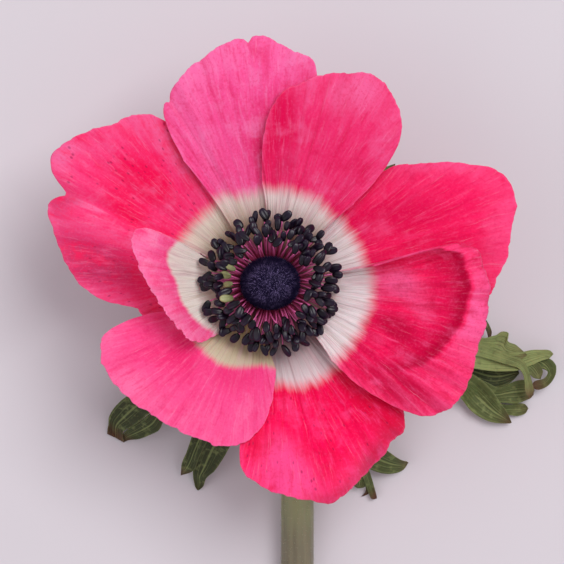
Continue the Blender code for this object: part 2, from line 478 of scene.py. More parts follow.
def cover(tree: bpy.types.NodeTree, shader: bpy.types.Node, colour: Socket, relief: Socket,
          strength: float, depth: float) -> None:
    """Put a finished colour and a relief on a shader.

    Args:
        tree: the material's node tree.
        shader: its Principled node.
        colour: the colour's output.
        relief: the output whose height the surface follows.
        strength: share of the relief that shows.
        depth: height of the relief in millimetres.
    """
    tree.links.new(colour, shader.inputs["Base Color"])
    bump = add_node(
        tree, "ShaderNodeBump", {"Strength": strength, "Distance": depth * MM, "Height": relief}
    )
    tree.links.new(bump.outputs["Normal"], shader.inputs["Normal"])


@dataclass(frozen=True)
class PetalTissue:
    """Living petal: thin, satin and a little translucent, grown in lengthwise ribs.

    The eye sees a white foot that ends in a soft feathered edge, then pink with fine
    lengthwise streaks, soft patches of deeper colour and, on some, a few dark specks.
    Some of the deeper and lighter patches are painted shade and painted light: shadow
    cast by neighbouring tepals, shade under the stamens, and light on the parts that
    face the lamp.
    """

    name: str
    deep: str
    main: str
    light: str
    specks: float = 0.0
    # The foot's buff is its own colour. On several tepals, a darker or longer foot also stands for
    # painted shade from the stamens and from overlapping tepals.
    foot: str = "#c0a898"
    foot_length: float = 9.0
    white: str = "#e4d2d4"
    softness: float = 1.9
    # Painted shade under the dense stamens, laid over the claw.
    claw: str = "#54203a"
    vein: str = "#94666a"
    pale: str = "#f29cc0"
    speck: str = "#8e1040"
    # Painted shade: a duller pink where a neighbouring tepal shades the blade or where the blade
    # turns away from the light.
    dull_in_shade: str = "#c42e5c"
    flush: str = "#c9a0a8"
    shade: str = "#bf979c"

    BLOTCH_MM = 5.882
    GRAIN_MM = 0.4545
    WANDER_DEGREES = 2.5
    FAN_GRAINS = (
        ("ribs", (0.75, 7.0, 1.0), 4.0, -0.5),
        ("streaks", (2.2, 6.0, 1.0), 3.0, -1.0),
        ("bands", (6.0, 20.0, 1.0), 2.0, -1.3),
    )
    FEATHER = (-2.4, -0.4)
    VEIN = (2.6, 60.0, 1.0)
    VEIN_HALF_WIDTH = 0.016
    SPECK_CELLS = (0.5, 0.5, 1.0)
    KEEP = 0.6

    def material(self) -> bpy.types.Material:
        """Build the finish: its colour in layers over the blade's own coordinates.

        The fan's grains are given by name, size in degrees across and millimetres along
        the blade, detail, and how far each pulls the white's edge. The white ends where
        the distance past its edge, less these pulls, passes through the feather's range.
        """
        material, tree, shader = start_material(
            self.name, Roughness=0.5, Specular_IOR_Level=0.07, Subsurface_Weight=0.12,
            Subsurface_Scale=0.5 * MM, Subsurface_Radius=(1.0, 0.3, 0.4),
        )
        facts = read_surface(tree, "along", "across", "past", "rim", "tone", "dull_in_shade", "back")
        for name, size, detail in (("blotch", self.BLOTCH_MM, 4.0), ("grain", self.GRAIN_MM, 2.0)):
            facts[name] = grained(tree, facts["place"], even(size), detail, self.KEEP)
        wander = add_node(
            tree, "ShaderNodeMath",
            {0: facts["blotch"], 1: self.WANDER_DEGREES, 2: facts["across"]},
            operation="MULTIPLY_ADD",
        ).outputs["Value"]
        facts["fan"] = add_node(
            tree, "ShaderNodeCombineXYZ", {"X": wander, "Y": facts["along"]}
        ).outputs["Vector"]
        facts["feather"] = facts["past"]
        for name, size, detail, depth in self.FAN_GRAINS:
            facts[name] = grained(tree, facts["fan"], size, detail, self.KEEP)
            facts["feather"] = add_node(
                tree, "ShaderNodeMath",
                {0: facts[name], 1: depth * self.softness, 2: facts["feather"]},
                operation="MULTIPLY_ADD",
            ).outputs["Value"]
        start, end = (share * self.softness for share in self.FEATHER)
        colour = layered(tree, facts, self.white_foot(tree, facts), [
            ("feather", start, end, 1.0, self.pink(tree, facts)),
            ("back", 0.0, 1.0, 0.35, self.light),
        ])
        cover(tree, shader, colour, facts["ribs"], 0.5, 0.2)
        return material

    def pink(self, tree: bpy.types.NodeTree, facts: dict) -> Socket:
        """The coloured part of the blade: soft patches, then streaks, then specks, then a painted
        highlight along the edge.

        A speck sits at the middle of a cell, on the share of cells whose draw is high.
        """
        pink = layered(tree, facts, self.main, [
            ("past", 7.0, 0.0, 0.3, self.deep),
            ("rim", 8.0, 0.0, 0.3, self.light),
            # Painted light (positive) and painted shade (negative), mixed with the blade's own
            # lighter and deeper patches.
            ("tone", 0.0, 1.0, 1.0, self.light),
            ("tone", 0.0, -1.0, 1.0, self.deep),
            # Painted shade, laid as a duller pink.
            ("dull_in_shade", 0.0, 1.0, 1.0, self.dull_in_shade),
            ("blotch", 0.52, 0.7, 0.5, self.light),
            ("blotch", 0.48, 0.3, 0.6, self.deep),
            ("bands", 0.52, 0.75, 0.3, self.light),
            ("bands", 0.48, 0.25, 0.5, self.deep),
            ("streaks", 0.52, 0.75, 0.5, self.light),
            ("streaks", 0.48, 0.25, 0.55, self.deep),
            ("ribs", 0.54, 0.82, 0.35, self.pale),
            ("ribs", 0.46, 0.2, 0.5, self.deep),
            ("grain", 0.52, 0.72, 0.2, self.light),
            ("grain", 0.48, 0.3, 0.3, self.deep),
        ])
        cells = add_node(
            tree, "ShaderNodeMapping", {"Vector": facts["fan"], "Scale": self.SPECK_CELLS}
        ).outputs["Vector"]
        spots = add_node(tree, "ShaderNodeTexVoronoi", {"Vector": cells, "Scale": 1.0}).outputs
        near = {"gap": spots["Distance"], "chance": spots["Color"], "rim": facts["rim"]}
        dotted = layered(tree, near, pink, [("gap", 0.24, 0.06, 0.8, self.speck)])
        return layered(tree, near, pink, [
            ("chance", 0.5, 0.6, self.specks, dotted),
            # A thin pale line along the edge: painted highlight.
            ("rim", 0.4, 0.0, 0.1, self.pale),
        ])

    def white_foot(self, tree: bpy.types.NodeTree, facts: dict) -> Socket:
        """The white part: buff at the claw, flushed in bands, with thin dark veins, and painted
        shade from the stamens over the claw.

        A vein runs wherever a long noise passes its middle value.
        """
        long_noise = grained(tree, facts["fan"], self.VEIN, 1.0, self.KEEP)
        facts["on_vein"] = add_node(
            tree, "ShaderNodeMath", {0: long_noise, 1: 0.5, 2: self.VEIN_HALF_WIDTH},
            operation="COMPARE",
        ).outputs["Value"]
        # Buff foot to white; where the foot is dark and long, it is painted shade.
        return layered(tree, facts, self.foot, [
            ("along", 3.0, self.foot_length, 1.0, self.white),
            ("bands", 0.5, 0.7, 0.45, self.flush),
            ("bands", 0.45, 0.3, 0.35, self.foot),
            ("streaks", 0.5, 0.3, 0.2, self.shade),
            ("on_vein", 0.0, 1.0, 0.3, self.vein),
            # Painted shade under the stamens.
            ("along", 4.0, 0.5, 0.85, self.claw),
        ])


@dataclass(frozen=True)
class LeafTissue:
    """Bract leaf: matte, finely hairy green with a paler midrib and browned tips, each leaflet
    darker or lighter by its tone, which is partly its own green and partly painted light and shade.
    """

    name: str = "leaf_green"
    dark: str = "#30361a"
    main: str = "#535c31"
    light: str = "#8a945c"
    tip: str = "#5b3328"

    MOTTLE_MM = 1.4286
    VEIN = (0.125, 0.625, 1.0)

    def material(self) -> bpy.types.Material:
        """Build the finish from the lobes' own facts and a fine mottle.

        Veins are shares of a lobe's half width and of its length.
        """
        material, tree, shader = start_material(
            self.name, Roughness=0.62, Specular_IOR_Level=0.25, Sheen_Weight=0.05,
            Subsurface_Weight=0.08, Subsurface_Scale=0.5 * MM,
        )
        facts = read_surface(tree, "along", "across", "tone", "brown", "back")
        facts["mottle"] = grained(tree, facts["place"], even(self.MOTTLE_MM), 4.0)
        fan = add_node(
            tree, "ShaderNodeCombineXYZ", {"X": facts["across"], "Y": facts["along"]}
        ).outputs["Vector"]
        facts["veins"] = grained(tree, fan, self.VEIN, 3.0)
        facts["aside"] = add_node(
            tree, "ShaderNodeMath", {0: facts["across"]}, operation="ABSOLUTE"
        ).outputs["Value"]
        colour = layered(tree, facts, self.dark, [
            # Each leaflet's tone: partly its own green, partly painted light and shade.
            ("tone", 0.0, 0.5, 1.0, self.main),
            ("tone", 0.5, 1.0, 1.0, self.light),
            ("veins", 0.52, 0.68, 0.4, self.light),
            ("veins", 0.48, 0.32, 0.5, self.dark),
            ("mottle", 0.52, 0.7, 0.4, self.light),
            ("mottle", 0.46, 0.3, 0.3, self.dark),
            ("aside", 0.12, 0.03, 0.5, self.light),
            ("aside", 0.85, 1.0, 0.3, self.light),
            ("back", 0.0, 1.0, 0.35, self.light),
            ("along", 0.9, 1.0, facts["brown"], self.tip),
        ])
        cover(tree, shader, colour, facts["veins"], 0.7, 0.3)
        return material


@dataclass(frozen=True)
class StemTissue:
    """Soft stem, ribbed, with a wet cut end: greener and lighter near the head, partly its own
    fresher green and partly painted light that lifts the shade under the head, and browner below.
    """

    name: str = "stem_olive"
    main: str = "#706954"
    dark: str = "#5a4f40"
    light: str = "#8c826b"
    # Greener, lighter colour near the head: partly its own fresh green, partly painted light against
    # the head's shadow.
    young_and_lit: str = "#8a8e66"
    cut: str = "#c3c592"
    crown: str = "#4a142c"

    STREAK_MM = (1.1111, 16.6667, 3.3333)
    PATCH_MM = 8.3333

    def material(self) -> bpy.types.Material:
        """Build the finish from the tube's own facts and streaks along it."""
        material, tree, shader = start_material(
            self.name, Roughness=0.6, Specular_IOR_Level=0.35, Sheen_Weight=0.25,
            Subsurface_Weight=0.1, Subsurface_Scale=1.0 * MM,
        )
        facts = read_surface(tree, "cut", "crown", "fresh_and_lit")
        streak = tuple(size * MM for size in self.STREAK_MM)
        facts["streaks"] = grained(tree, facts["place"], streak, 3.0)
        facts["patches"] = grained(tree, facts["place"], even(self.PATCH_MM), 2.0)
        colour = layered(tree, facts, self.main, [
            # Partly fresh green, partly painted light near the head.
            ("fresh_and_lit", 0.0, 1.0, 1.0, self.young_and_lit),
            ("patches", 0.45, 0.7, 0.5, self.dark),
            ("streaks", 0.5, 0.7, 0.4, self.light),
            ("streaks", 0.48, 0.3, 0.4, self.dark),
            ("cut", 0.0, 1.0, 1.0, self.cut),
            ("crown", 0.0, 1.0, 1.0, self.crown),
        ])
        cover(tree, shader, colour, facts["streaks"], 0.3, 0.2)
        return material


@dataclass(frozen=True)
class SmallPartTissue:
    """Skin of a small flower part that shades from one colour at its root to another."""

    name: str
    root: str
    tip: str
    roughness: float
    specular: float = 0.5
    grain_mm: float = 0.66667
    mottling: float = 0.5

    def material(self) -> bpy.types.Material:
        """Build the finish: root to tip, varied by a fine mottle."""
        material, tree, shader = start_material(
            self.name, Roughness=self.roughness, Specular_IOR_Level=self.specular
        )
        facts = read_surface(tree, "along")
        facts["mottle"] = grained(tree, facts["place"], even(self.grain_mm), 2.0)
        colour = layered(tree, facts, self.root, [
            ("along", 0.0, 1.0, 1.0, self.tip),
            ("mottle", 0.5, 0.75, self.mottling, self.tip),
            ("mottle", 0.45, 0.25, self.mottling, self.root),
        ])
        tree.links.new(colour, shader.inputs["Base Color"])
        return material


# ---------------------------------------------------------------- the flower's pieces


class Level(Enum):
    """Which of the three overlapping levels a tepal grows in."""

    OUTER = 0
    MIDDLE = 1
    INNER = 2


@dataclass(frozen=True)
class Tepal:
    """One tepal, a fan that spreads from its claw to a rim given by a few points.

    Angles are in degrees off the tepal's azimuth, reaches in millimetres from its foot.
    """

    name: str
    azimuth: float
    level: Level
    rim: tuple
    finish: PetalTissue
    seed: int
    nicks: tuple = ()
    pleat: float = 0.25
    ripple: float = 0.5
    left_edge: float = 0.0
    right_edge: float = 0.0
    stand: float = 0.0
    lip_step: float = 0.0
    lip_droop: float = 0.0
    creases: tuple = ()
    swells: tuple = ()
    # Patches of lighter (positive) and deeper (negative) pink, each as (angle, width, u, length,
    # amount): partly the blade's own colour, partly painted light and painted shade, such as a
    # neighbouring tepal's cast shadow.
    tones_and_lighting: tuple = ()
    # Patches of painted shade, laid as a duller pink, each as (angle, width, u, length, amount).
    dulls_in_shade: tuple = ()
    white: tuple = ((-90, 12.8), (90, 12.8))

    FOOT_RADIUS = 5.4
    FOOT_Z = 19.8
    LEVEL_STEP = 1.25
    CLAW_HALF_WIDTH = 4.0
    BOWL_RISE = 12.0
    BOWL_REACH = 40.0
    STAND_START = 12.5
    STAND_WIDTH = 7.0
    PLEAT_RADIUS = 22
    PLEAT_RATE = 0.045
    RIPPLE_RATE = 0.022
    RIPPLE_SLANT = 7
    FRINGE = 0.22
    FRINGE_RATE = 0.09
    LIP_RUN = 3.4
    LIP_WIDTHS = ((-40, 15), (-15, 11.8), (-4, 8.1), (6, 5.4), (20, 4.0), (42, 3.2))
    SIDE_LIP_WIDTH = 1.2
    SIDE_LIP_SHARE = 0.45
    LIPLESS_REACH = (22.0, 10.0, 12.0)
    # Middle and spread, in degrees, of the band where the rolled lip gets its painted light.
    LIP_LIGHT_BAND = (17, 14)
    CLAW_THICKNESS = 0.42
    RIM_THICKNESS = 0.18
    RIM_BAND = 30.0
    PATTERN_STEP = 100.0
    ROWS = 96
    COLUMNS = 180

    def surface(self) -> tuple:
        """Top surface of the blade on a grid of u (claw to rim) and v (across).

        The angle off the azimuth is the middle of the rim's angles plus half their
        span times the sine of v's quarter turn, so that columns crowd at both edges.
        A point is the foot, plus the claw's half width times v (1 - u) squared, plus
        u times the rim's reach along the angle. Each tepal's pattern starts a step of
        its own further round, so that no two are alike.

        Returns:
            (points, facts) with facts across in degrees and along and rim in millimetres.
        """
        u = np.linspace(0, 1, self.ROWS)[:, None] ** 0.9
        v = np.linspace(-1, 1, self.COLUMNS)[None, :]
        first, last = self.rim[0][0], self.rim[-1][0]
        angle = (first + last) / 2 + (last - first) / 2 * np.sin(v * pi / 2)
        reach = curve_through(self.rim, angle) + self.fringe(angle)
        foot = polar(self.azimuth, self.FOOT_RADIUS, 0.0)
        side = polar(self.azimuth + 90, 1.0, 0.0)
        claw = side * (self.CLAW_HALF_WIDTH * v * (1 - u) ** 2)[..., None]
        plan = foot + claw + polar(self.azimuth + angle, reach * u, 0.0)
        out = reach * u
        to_end = reach - out
        near, fade, clear = self.LIPLESS_REACH
        to_side = out * np.sin(np.radians(last - angle)) + clear * smooth((near - out) / fade)
        plan[..., 2] = self.height(plan, u, v, angle, to_end, to_side)
        steps = np.linalg.norm(np.diff(plan, axis=0), axis=-1)
        along = np.concatenate([np.zeros((1, self.COLUMNS)), np.cumsum(steps, 0)])
        # The blade's own patches together with painted light and shade, then the lip's painted light
        # and shade.
        tone = self.patches(self.tones_and_lighting, angle, u)
        if self.lip_step:
            tone = tone + self.lip_light_and_shade(angle, to_end, to_side)
        return plan, {
            "along": along,
            "across": np.broadcast_to(angle + self.PATTERN_STEP * self.seed, along.shape),
            "past": along - curve_through(self.white, angle),
            "rim": np.minimum(along[-1:] - along, self.RIM_BAND),
            "tone": tone,
            "dull_in_shade": self.patches(self.dulls_in_shade, angle, u),
        }

    def patches(self, spots: tuple, angle: Array, u: Array) -> Array:
        """Soft round patches added up, each as (angle, width, u, length, amount); they hold the
        blade's own patches and painted light and shade.
        """
        return sum(
            (amount * bell((angle - place) / width) * bell((u - middle) / length)
             for place, width, middle, length, amount in spots),
            start=0.0 * angle * u,
        )

    def fringe(self, angle: Array) -> Array:
        """The rim's small raggedness and its nicks, as a change of reach."""
        ragged = self.FRINGE * waves(angle, self.seed + 50, self.FRINGE_RATE, 7)
        for place, depth, width in self.nicks:
            ragged = ragged - depth * bell((angle - place) / width)
        return ragged

    def height(self, plan: Array, u: Array, v: Array, angle: Array, to_end: Array,
               to_side: Array) -> Array:
        """Height of the blade: the shared bowl, then this tepal's own relief.

        The edges lift as v squared times u squared, the pleats grow with the distance
        from the axis and the ripples as u cubed; creases and swells are humps.

        Args:
            plan: points whose x and y are set.
            u: share of the way from claw to rim.
            v: -1 at the clockwise edge, 1 at the other.
            angle: degrees off the azimuth.
            to_end: millimetres left to the rim.
            to_side: millimetres to the edge on the counterclockwise side, made larger near
                the claw, where no lip runs.

        Returns:
            z of each point.
        """
        from_axis = np.hypot(plan[..., 0], plan[..., 1])
        z = self.FOOT_Z + self.LEVEL_STEP * self.level.value
        z = z + self.BOWL_RISE * smooth((from_axis - self.FOOT_RADIUS) / self.BOWL_REACH)
        z += self.stand * (1 - bell(np.maximum(from_axis - self.STAND_START, 0) / self.STAND_WIDTH))
        z += self.left_edge * np.maximum(v, 0) ** 2 * u**2
        z += self.right_edge * np.minimum(v, 0) ** 2 * u**2
        pleats = waves(angle, self.seed, self.PLEAT_RATE)
        z += self.pleat * pleats * smooth(from_axis / self.PLEAT_RADIUS)
        slanted = angle + self.RIPPLE_SLANT * u
        z += self.ripple * waves(slanted, self.seed + 20, self.RIPPLE_RATE, 4) * u**3
        for place, width, start, depth in self.creases:
            z -= depth * bell((angle - place) / width) * smooth((u - start) / (1 - start))
        for place, width, middle, length, rise in self.swells:
            z += rise * bell((angle - place) / width) * bell((u - middle) / length)
        return z + self.lip(angle, to_end, to_side)

    def lip_width(self, angle: Array) -> Array:
        """Width of the rolled rim: narrow at the counterclockwise side, widening away."""
        return curve_through(self.LIP_WIDTHS, angle)

    def lip_wall(self, angle: Array, to_end: Array, to_side: Array) -> Array:
        """Share of the rise to the crease: 1 on the lip, falling as e to the minus distance."""
        end = np.exp(-np.maximum(to_end - self.lip_width(angle), 0) / self.LIP_RUN)
        past_side = np.maximum(to_side - self.SIDE_LIP_WIDTH, 0)
        side = self.SIDE_LIP_SHARE * np.exp(-past_side / self.LIP_RUN)
        return smooth((angle + 34) / 34) * np.maximum(end, side)

    def lip(self, angle: Array, to_end: Array, to_side: Array) -> Array:
        """A rim that climbs ever steeper out of the cup, creases and rolls over outwards.

        The crease follows the end and the side edge; it moves inwards towards the
        clockwise side, where the rise fades out.
        """
        if not self.lip_step:
            return np.zeros(to_end.shape)
        width = self.lip_width(angle)
        droop = np.clip(1 - to_end / width, 0, 1) ** 2
        fade = smooth((angle + 32) / 30)
        return self.lip_step * self.lip_wall(angle, to_end, to_side) - fade * self.lip_droop * droop

    def lip_light_and_shade(self, angle: Array, to_end: Array, to_side: Array) -> Array:
        """Colour that deepens up the wall to the crease and is light beyond it: the deepening is
        partly the wall's own pigment and partly painted shade, and the light on the rolled lip is
        painted light.
        """
        beyond = smooth((self.lip_width(angle) - to_end) / 1.8 + 0.35)
        side = smooth((self.SIDE_LIP_WIDTH - to_side) / self.SIDE_LIP_WIDTH + 0.3)
        beyond = np.maximum(beyond, side)
        wall = self.lip_wall(angle, to_end, to_side)
        middle, spread = self.LIP_LIGHT_BAND
        # Painted light on the lip; painted shade, with deeper pigment, up the wall.
        return 0.85 * beyond * bell((angle - middle) / spread) - 1.3 * wall**1.5 * (1 - beyond)

    def make(self) -> None:
        """Build the tepal as a closed blade that thins towards its rim."""
        top, facts = self.surface()
        thinning = self.CLAW_THICKNESS - self.RIM_THICKNESS
        thickness = self.CLAW_THICKNESS - thinning * smooth(facts["along"] / facts["along"][-1:])
        shape = shell(top, thickness, facts)
        make_piece(self.name, shape, [self.finish.material()], [self.name])


@dataclass(frozen=True)
class Leaflet:
    """One leaflet of a bract, drawn by its two edges in plan.

    Both edges run outwards from the hidden stalk to the tip. Left is the
    counterclockwise side. The stalk leaves the stem at the foot azimuth. The tone goes
    from dark at 0 to light at 1, partly the leaflet's own green and partly painted
    light and shade, darker where it lies in another leaflet's shadow; the lift and the
    fold are in millimetres and in shares of the half width, and brown says how much of
    the tip has dried.
    """

    foot: float
    left: tuple
    right: tuple
    tone: float = 0.4
    lift: float = 0.0
    fold: float = 0.25
    brown: float = 0.6


@dataclass(frozen=True)
class Bract:
    """A divided bract: leaflets that leave the stem together and droop to the surface."""

    name: str
    touch_radius: float
    leaflets: tuple
    seed: int

    FOOT_RADIUS = 3.8
    FOOT_Z = 16.2
    HUMP = 2.0
    STALK_HALF_WIDTH = 1.4
    STALK_KNOT = 0.55
    STALK_SWELL = 1.3
    DROOP_POWER = 2.4
    TOOTH_HEIGHT = 0.13
    TEETH = 26
    THICKNESS = 0.4
    EDGE_THICKNESS_SHARE = 0.3
    CLEARANCE = 0.1
    ROWS = 90
    COLUMNS = 17

    def fall(self, radius: Array) -> Array:
        """Height at a distance from the stem: a low hump, then a droop to the surface."""
        share = np.clip(radius / self.touch_radius, 0, 1)
        drop = self.FOOT_Z + self.HUMP - self.THICKNESS
        return self.FOOT_Z + self.HUMP * share - drop * share**self.DROOP_POWER

    def edge(self, leaflet: Leaflet, side: int) -> Array:
        """One edge from the foot to the tip, its knots spaced by the distance between them.

        Args:
            leaflet: the leaflet.
            side: 1 for the left edge, -1 for the right.

        Returns:
            (rows, 2) points in plan.
        """
        visible = np.array(leaflet.left if side > 0 else leaflet.right, float)
        start = (np.array(leaflet.left[0]) + np.array(leaflet.right[0])) / 2
        foot = polar(leaflet.foot, self.FOOT_RADIUS, 0.0)[:2]
        beside = polar(leaflet.foot + 90, self.STALK_HALF_WIDTH * side, 0.0)[:2]
        stalk = foot + self.STALK_KNOT * (start - foot) + beside * self.STALK_SWELL
        knots = np.concatenate([[foot + beside, stalk], visible])
        run = np.concatenate([[0], np.cumsum(np.linalg.norm(np.diff(knots, axis=0), axis=1))])
        share = np.linspace(0, 1, self.ROWS) ** 0.8
        return np.stack(
            [curve_through(tuple(zip(run / run[-1], knots[:, axis])), share) for axis in (0, 1)], -1
        )

    def blade(self, leaflet: Leaflet, seed: int) -> Shape:
        """A closed sheet between the two edges, folded along its midrib.

        Its height is the fall, plus the leaflet's lift, plus a fold that grows as the
        share of the half width to the power 1.5, plus ruffles that grow to the edge.

        Args:
            leaflet: the leaflet.
            seed: which set of ruffles.

        Returns:
            The closed shape.
        """
        left, right = (self.edge(leaflet, side) for side in (1, -1))
        t = np.linspace(-1, 1, self.COLUMNS)[None, :]
        share = np.linspace(0, 1, self.ROWS)[:, None] + 0 * t
        middle, half = (left + right) / 2, (left - right) / 2
        plan = middle[:, None] + half[:, None] * t[..., None]
        size = np.linalg.norm(half, axis=1)[:, None]
        z = self.fall(np.hypot(plan[..., 0], plan[..., 1])) + leaflet.lift * smooth(share * 1.6)
        z = z + leaflet.fold * size * (np.abs(t) ** 1.5 - 0.4)
        ruffle = waves(share * self.TEETH + 2 * np.sign(t), seed, 0.14)
        z = z + self.TOOTH_HEIGHT * size * ruffle * np.abs(t)
        z = np.maximum(z, self.THICKNESS + self.CLEARANCE)
        top = np.concatenate([plan, z[..., None]], -1)
        facts = {
            "along": share,
            "across": t + 0 * share,
            "tone": np.full(share.shape, leaflet.tone),
            "brown": np.full(share.shape, leaflet.brown),
        }
        thinning = np.clip((1.02 - np.abs(t)) * 3, self.EDGE_THICKNESS_SHARE, 1)
        return shell(top, self.THICKNESS * thinning + 0 * share, facts)

    def make(self, finish: bpy.types.Material) -> None:
        """Build all leaflets as one piece."""
        blades = [self.blade(leaflet, self.seed + i) for i, leaflet in enumerate(self.leaflets)]
        make_piece(self.name, Shape.joined(blades), [finish], [self.name])


@dataclass(frozen=True)
class Stem:
    """The cut stem, flat on the surface, with its neck and the receptacle on top."""

    radius: float = 3.2
    cut_y: float = -112.0
    bend_radius: float = 12.0
    side_step: float = 5.2
    side_step_length: float = 30.0
    back_curve_y: float = -50.0
    back_curve: float = 2.5
    neck: tuple = (
        (18.6, 3.1), (19.8, 4.4), (20.8, 4.8), (22.4, 4.8), (23.0, 3.8), (24.0, 2.9),
    )
    sides: int = 40
    flat_stations: int = 120
    bend_stations: int = 24
    neck_stations: int = 26
    hair_count: int = 2600
    hair_width: float = 0.028
    hair_lengths: tuple = (0.35, 0.9)
    hair_slant: float = 0.6

    RIBS = ((9, 0.018, 0), (4, 0.01, 1))
    CUT_RINGS = ((0.0, 0.5), (0.45, 0.45), (0.75, 0.15), (0.93, -0.05))
    CUT_TONES = (0.9, 0.75, 1.0, 0.6)
    CROWN_Z = 22.0
    # Where the greener end, partly painted light against the head's shadow, starts, and how long it
    # takes to fade in, in millimetres along y.
    YOUNG_LIT_Y = -56.0
    YOUNG_LIT_FADE = 18.0
    FLOOR_GAP = 0.02
    BARE_STATIONS = 22
    HAIR_ROOT_DEPTH = 0.98
    HAIR_FLOOR_GAP = 0.05
    SEED = 31

    def path(self) -> tuple:
        """Centre line and radius, from the cut end to the top of the receptacle.

        Along the surface x steps aside as an S curve and comes back as a square; the
        bend is a quarter circle; the neck goes straight up through its own widths.

        Returns:
            (points, radii).
        """
        y = np.linspace(self.cut_y, -self.bend_radius, self.flat_stations, endpoint=False)
        x = self.side_step * smooth((-self.bend_radius - y) / self.side_step_length)
        back = np.maximum((y - self.back_curve_y) / (self.cut_y - self.back_curve_y), 0)
        x = x - self.back_curve * back**2
        flat = np.stack([x, y, np.full(y.shape, self.radius)], -1)
        turn = np.linspace(0, pi / 2, self.bend_stations)
        bend = np.stack([
            np.zeros(turn.shape), self.bend_radius * (np.sin(turn) - 1),
            self.radius + self.bend_radius * (1 - np.cos(turn)),
        ], -1)
        z = np.linspace(self.neck[0][0] - 2.0, self.neck[-1][0], self.neck_stations)
        neck = np.stack([0 * z, 0 * z, z], -1)
        knots = ((self.neck[0][0] - 3.0, self.radius - 0.1), *self.neck)
        radii = np.concatenate([
            np.full(len(y), self.radius), self.radius - 0.1 * turn, curve_through(knots, z),
        ])
        return np.concatenate([flat, bend, neck]), radii

    def make(self) -> None:
        """Build the ribbed tube with its cut face, and the short hairs on it."""
        path, radii = self.path()
        ahead = unit(np.gradient(path, axis=0))
        beside = unit(np.array([1.0, 0, 0]) - ahead * ahead[:, :1])
        above = np.cross(ahead, beside)
        turn = ring_turns(self.sides)
        ribs = 1 + sum(height * np.cos(turn * count + start) for count, height, start in self.RIBS)
        around = beside[:, None] * np.cos(turn)[:, None] + above[:, None] * np.sin(turn)[:, None]
        rings = path[:, None] + around * (radii[:, None] * ribs)[..., None]
        rings[..., 2] = np.maximum(rings[..., 2], self.FLOOR_GAP)
        shape = self.capped(rings, path)
        make_piece("stem", shape, [StemTissue().material()], ["stem"])
        self.make_hairs(path, radii, around)

    def capped(self, rings: Array, path: Array) -> Shape:
        """The tube's rings with a cut face that dips to its pith, and a closed top.

        Args:
            rings: (stations, sides, 3) points round the tube.
            path: its centre line.

        Returns:
            The closed shape, with facts for the cut face, the dark crown and the green end, whose
            lighter green is partly painted light.
        """
        cut = [path[:1] + (rings[0] - path[:1]) * share + [0, dip, 0]
               for share, dip in self.CUT_RINGS]
        top = np.repeat(path[-1:], self.sides, 0)
        rows = [*cut, *rings, top]
        points = np.concatenate(rows)
        faces = grid_faces(len(rows), self.sides, wrap=True)[:, ::-1]
        face = np.zeros((len(rows), self.sides))
        face[:len(cut)] = np.array(self.CUT_TONES)[:, None]
        facts = {
            "cut": face.ravel(),
            "crown": smooth((points[:, 2] - self.CROWN_Z) / 0.5),
            "fresh_and_lit": smooth((points[:, 1] - self.YOUNG_LIT_Y) / self.YOUNG_LIT_FADE),
        }
        return Shape(points, [faces], facts)

    def make_hairs(self, path: Array, radii: Array, around: Array) -> None:
        """Soft pale hairs, thickest near the head, that stand off the stem.

        Args:
            path: the centre line.
            radii: the stem's radius along it.
            around: (stations, sides, 3) directions that point out of the tube.
        """
        draw = np.random.default_rng(self.SEED)
        visible = len(path) - self.BARE_STATIONS
        station = (visible * draw.uniform(0, 1, self.hair_count) ** 0.8).astype(int)
        side = draw.integers(0, self.sides, self.hair_count)
        out = around[station, side]
        roots = path[station] + out * radii[station, None] * self.HAIR_ROOT_DEPTH
        slant = draw.normal(0, 0.5, out.shape)
        length = draw.uniform(*self.hair_lengths, self.hair_count)
        ways = unit(out + slant * self.hair_slant) * length[:, None]
        keep = (roots + ways)[:, 2] > self.HAIR_FLOOR_GAP
        shape = spikes(roots[keep], ways[keep], self.hair_width, {})
        finish = SmallPartTissue("stem_hair", "#9a9a7c", "#d3d3c2", 0.6)
        make_piece("stem_hairs", shape, [finish.material()], [])


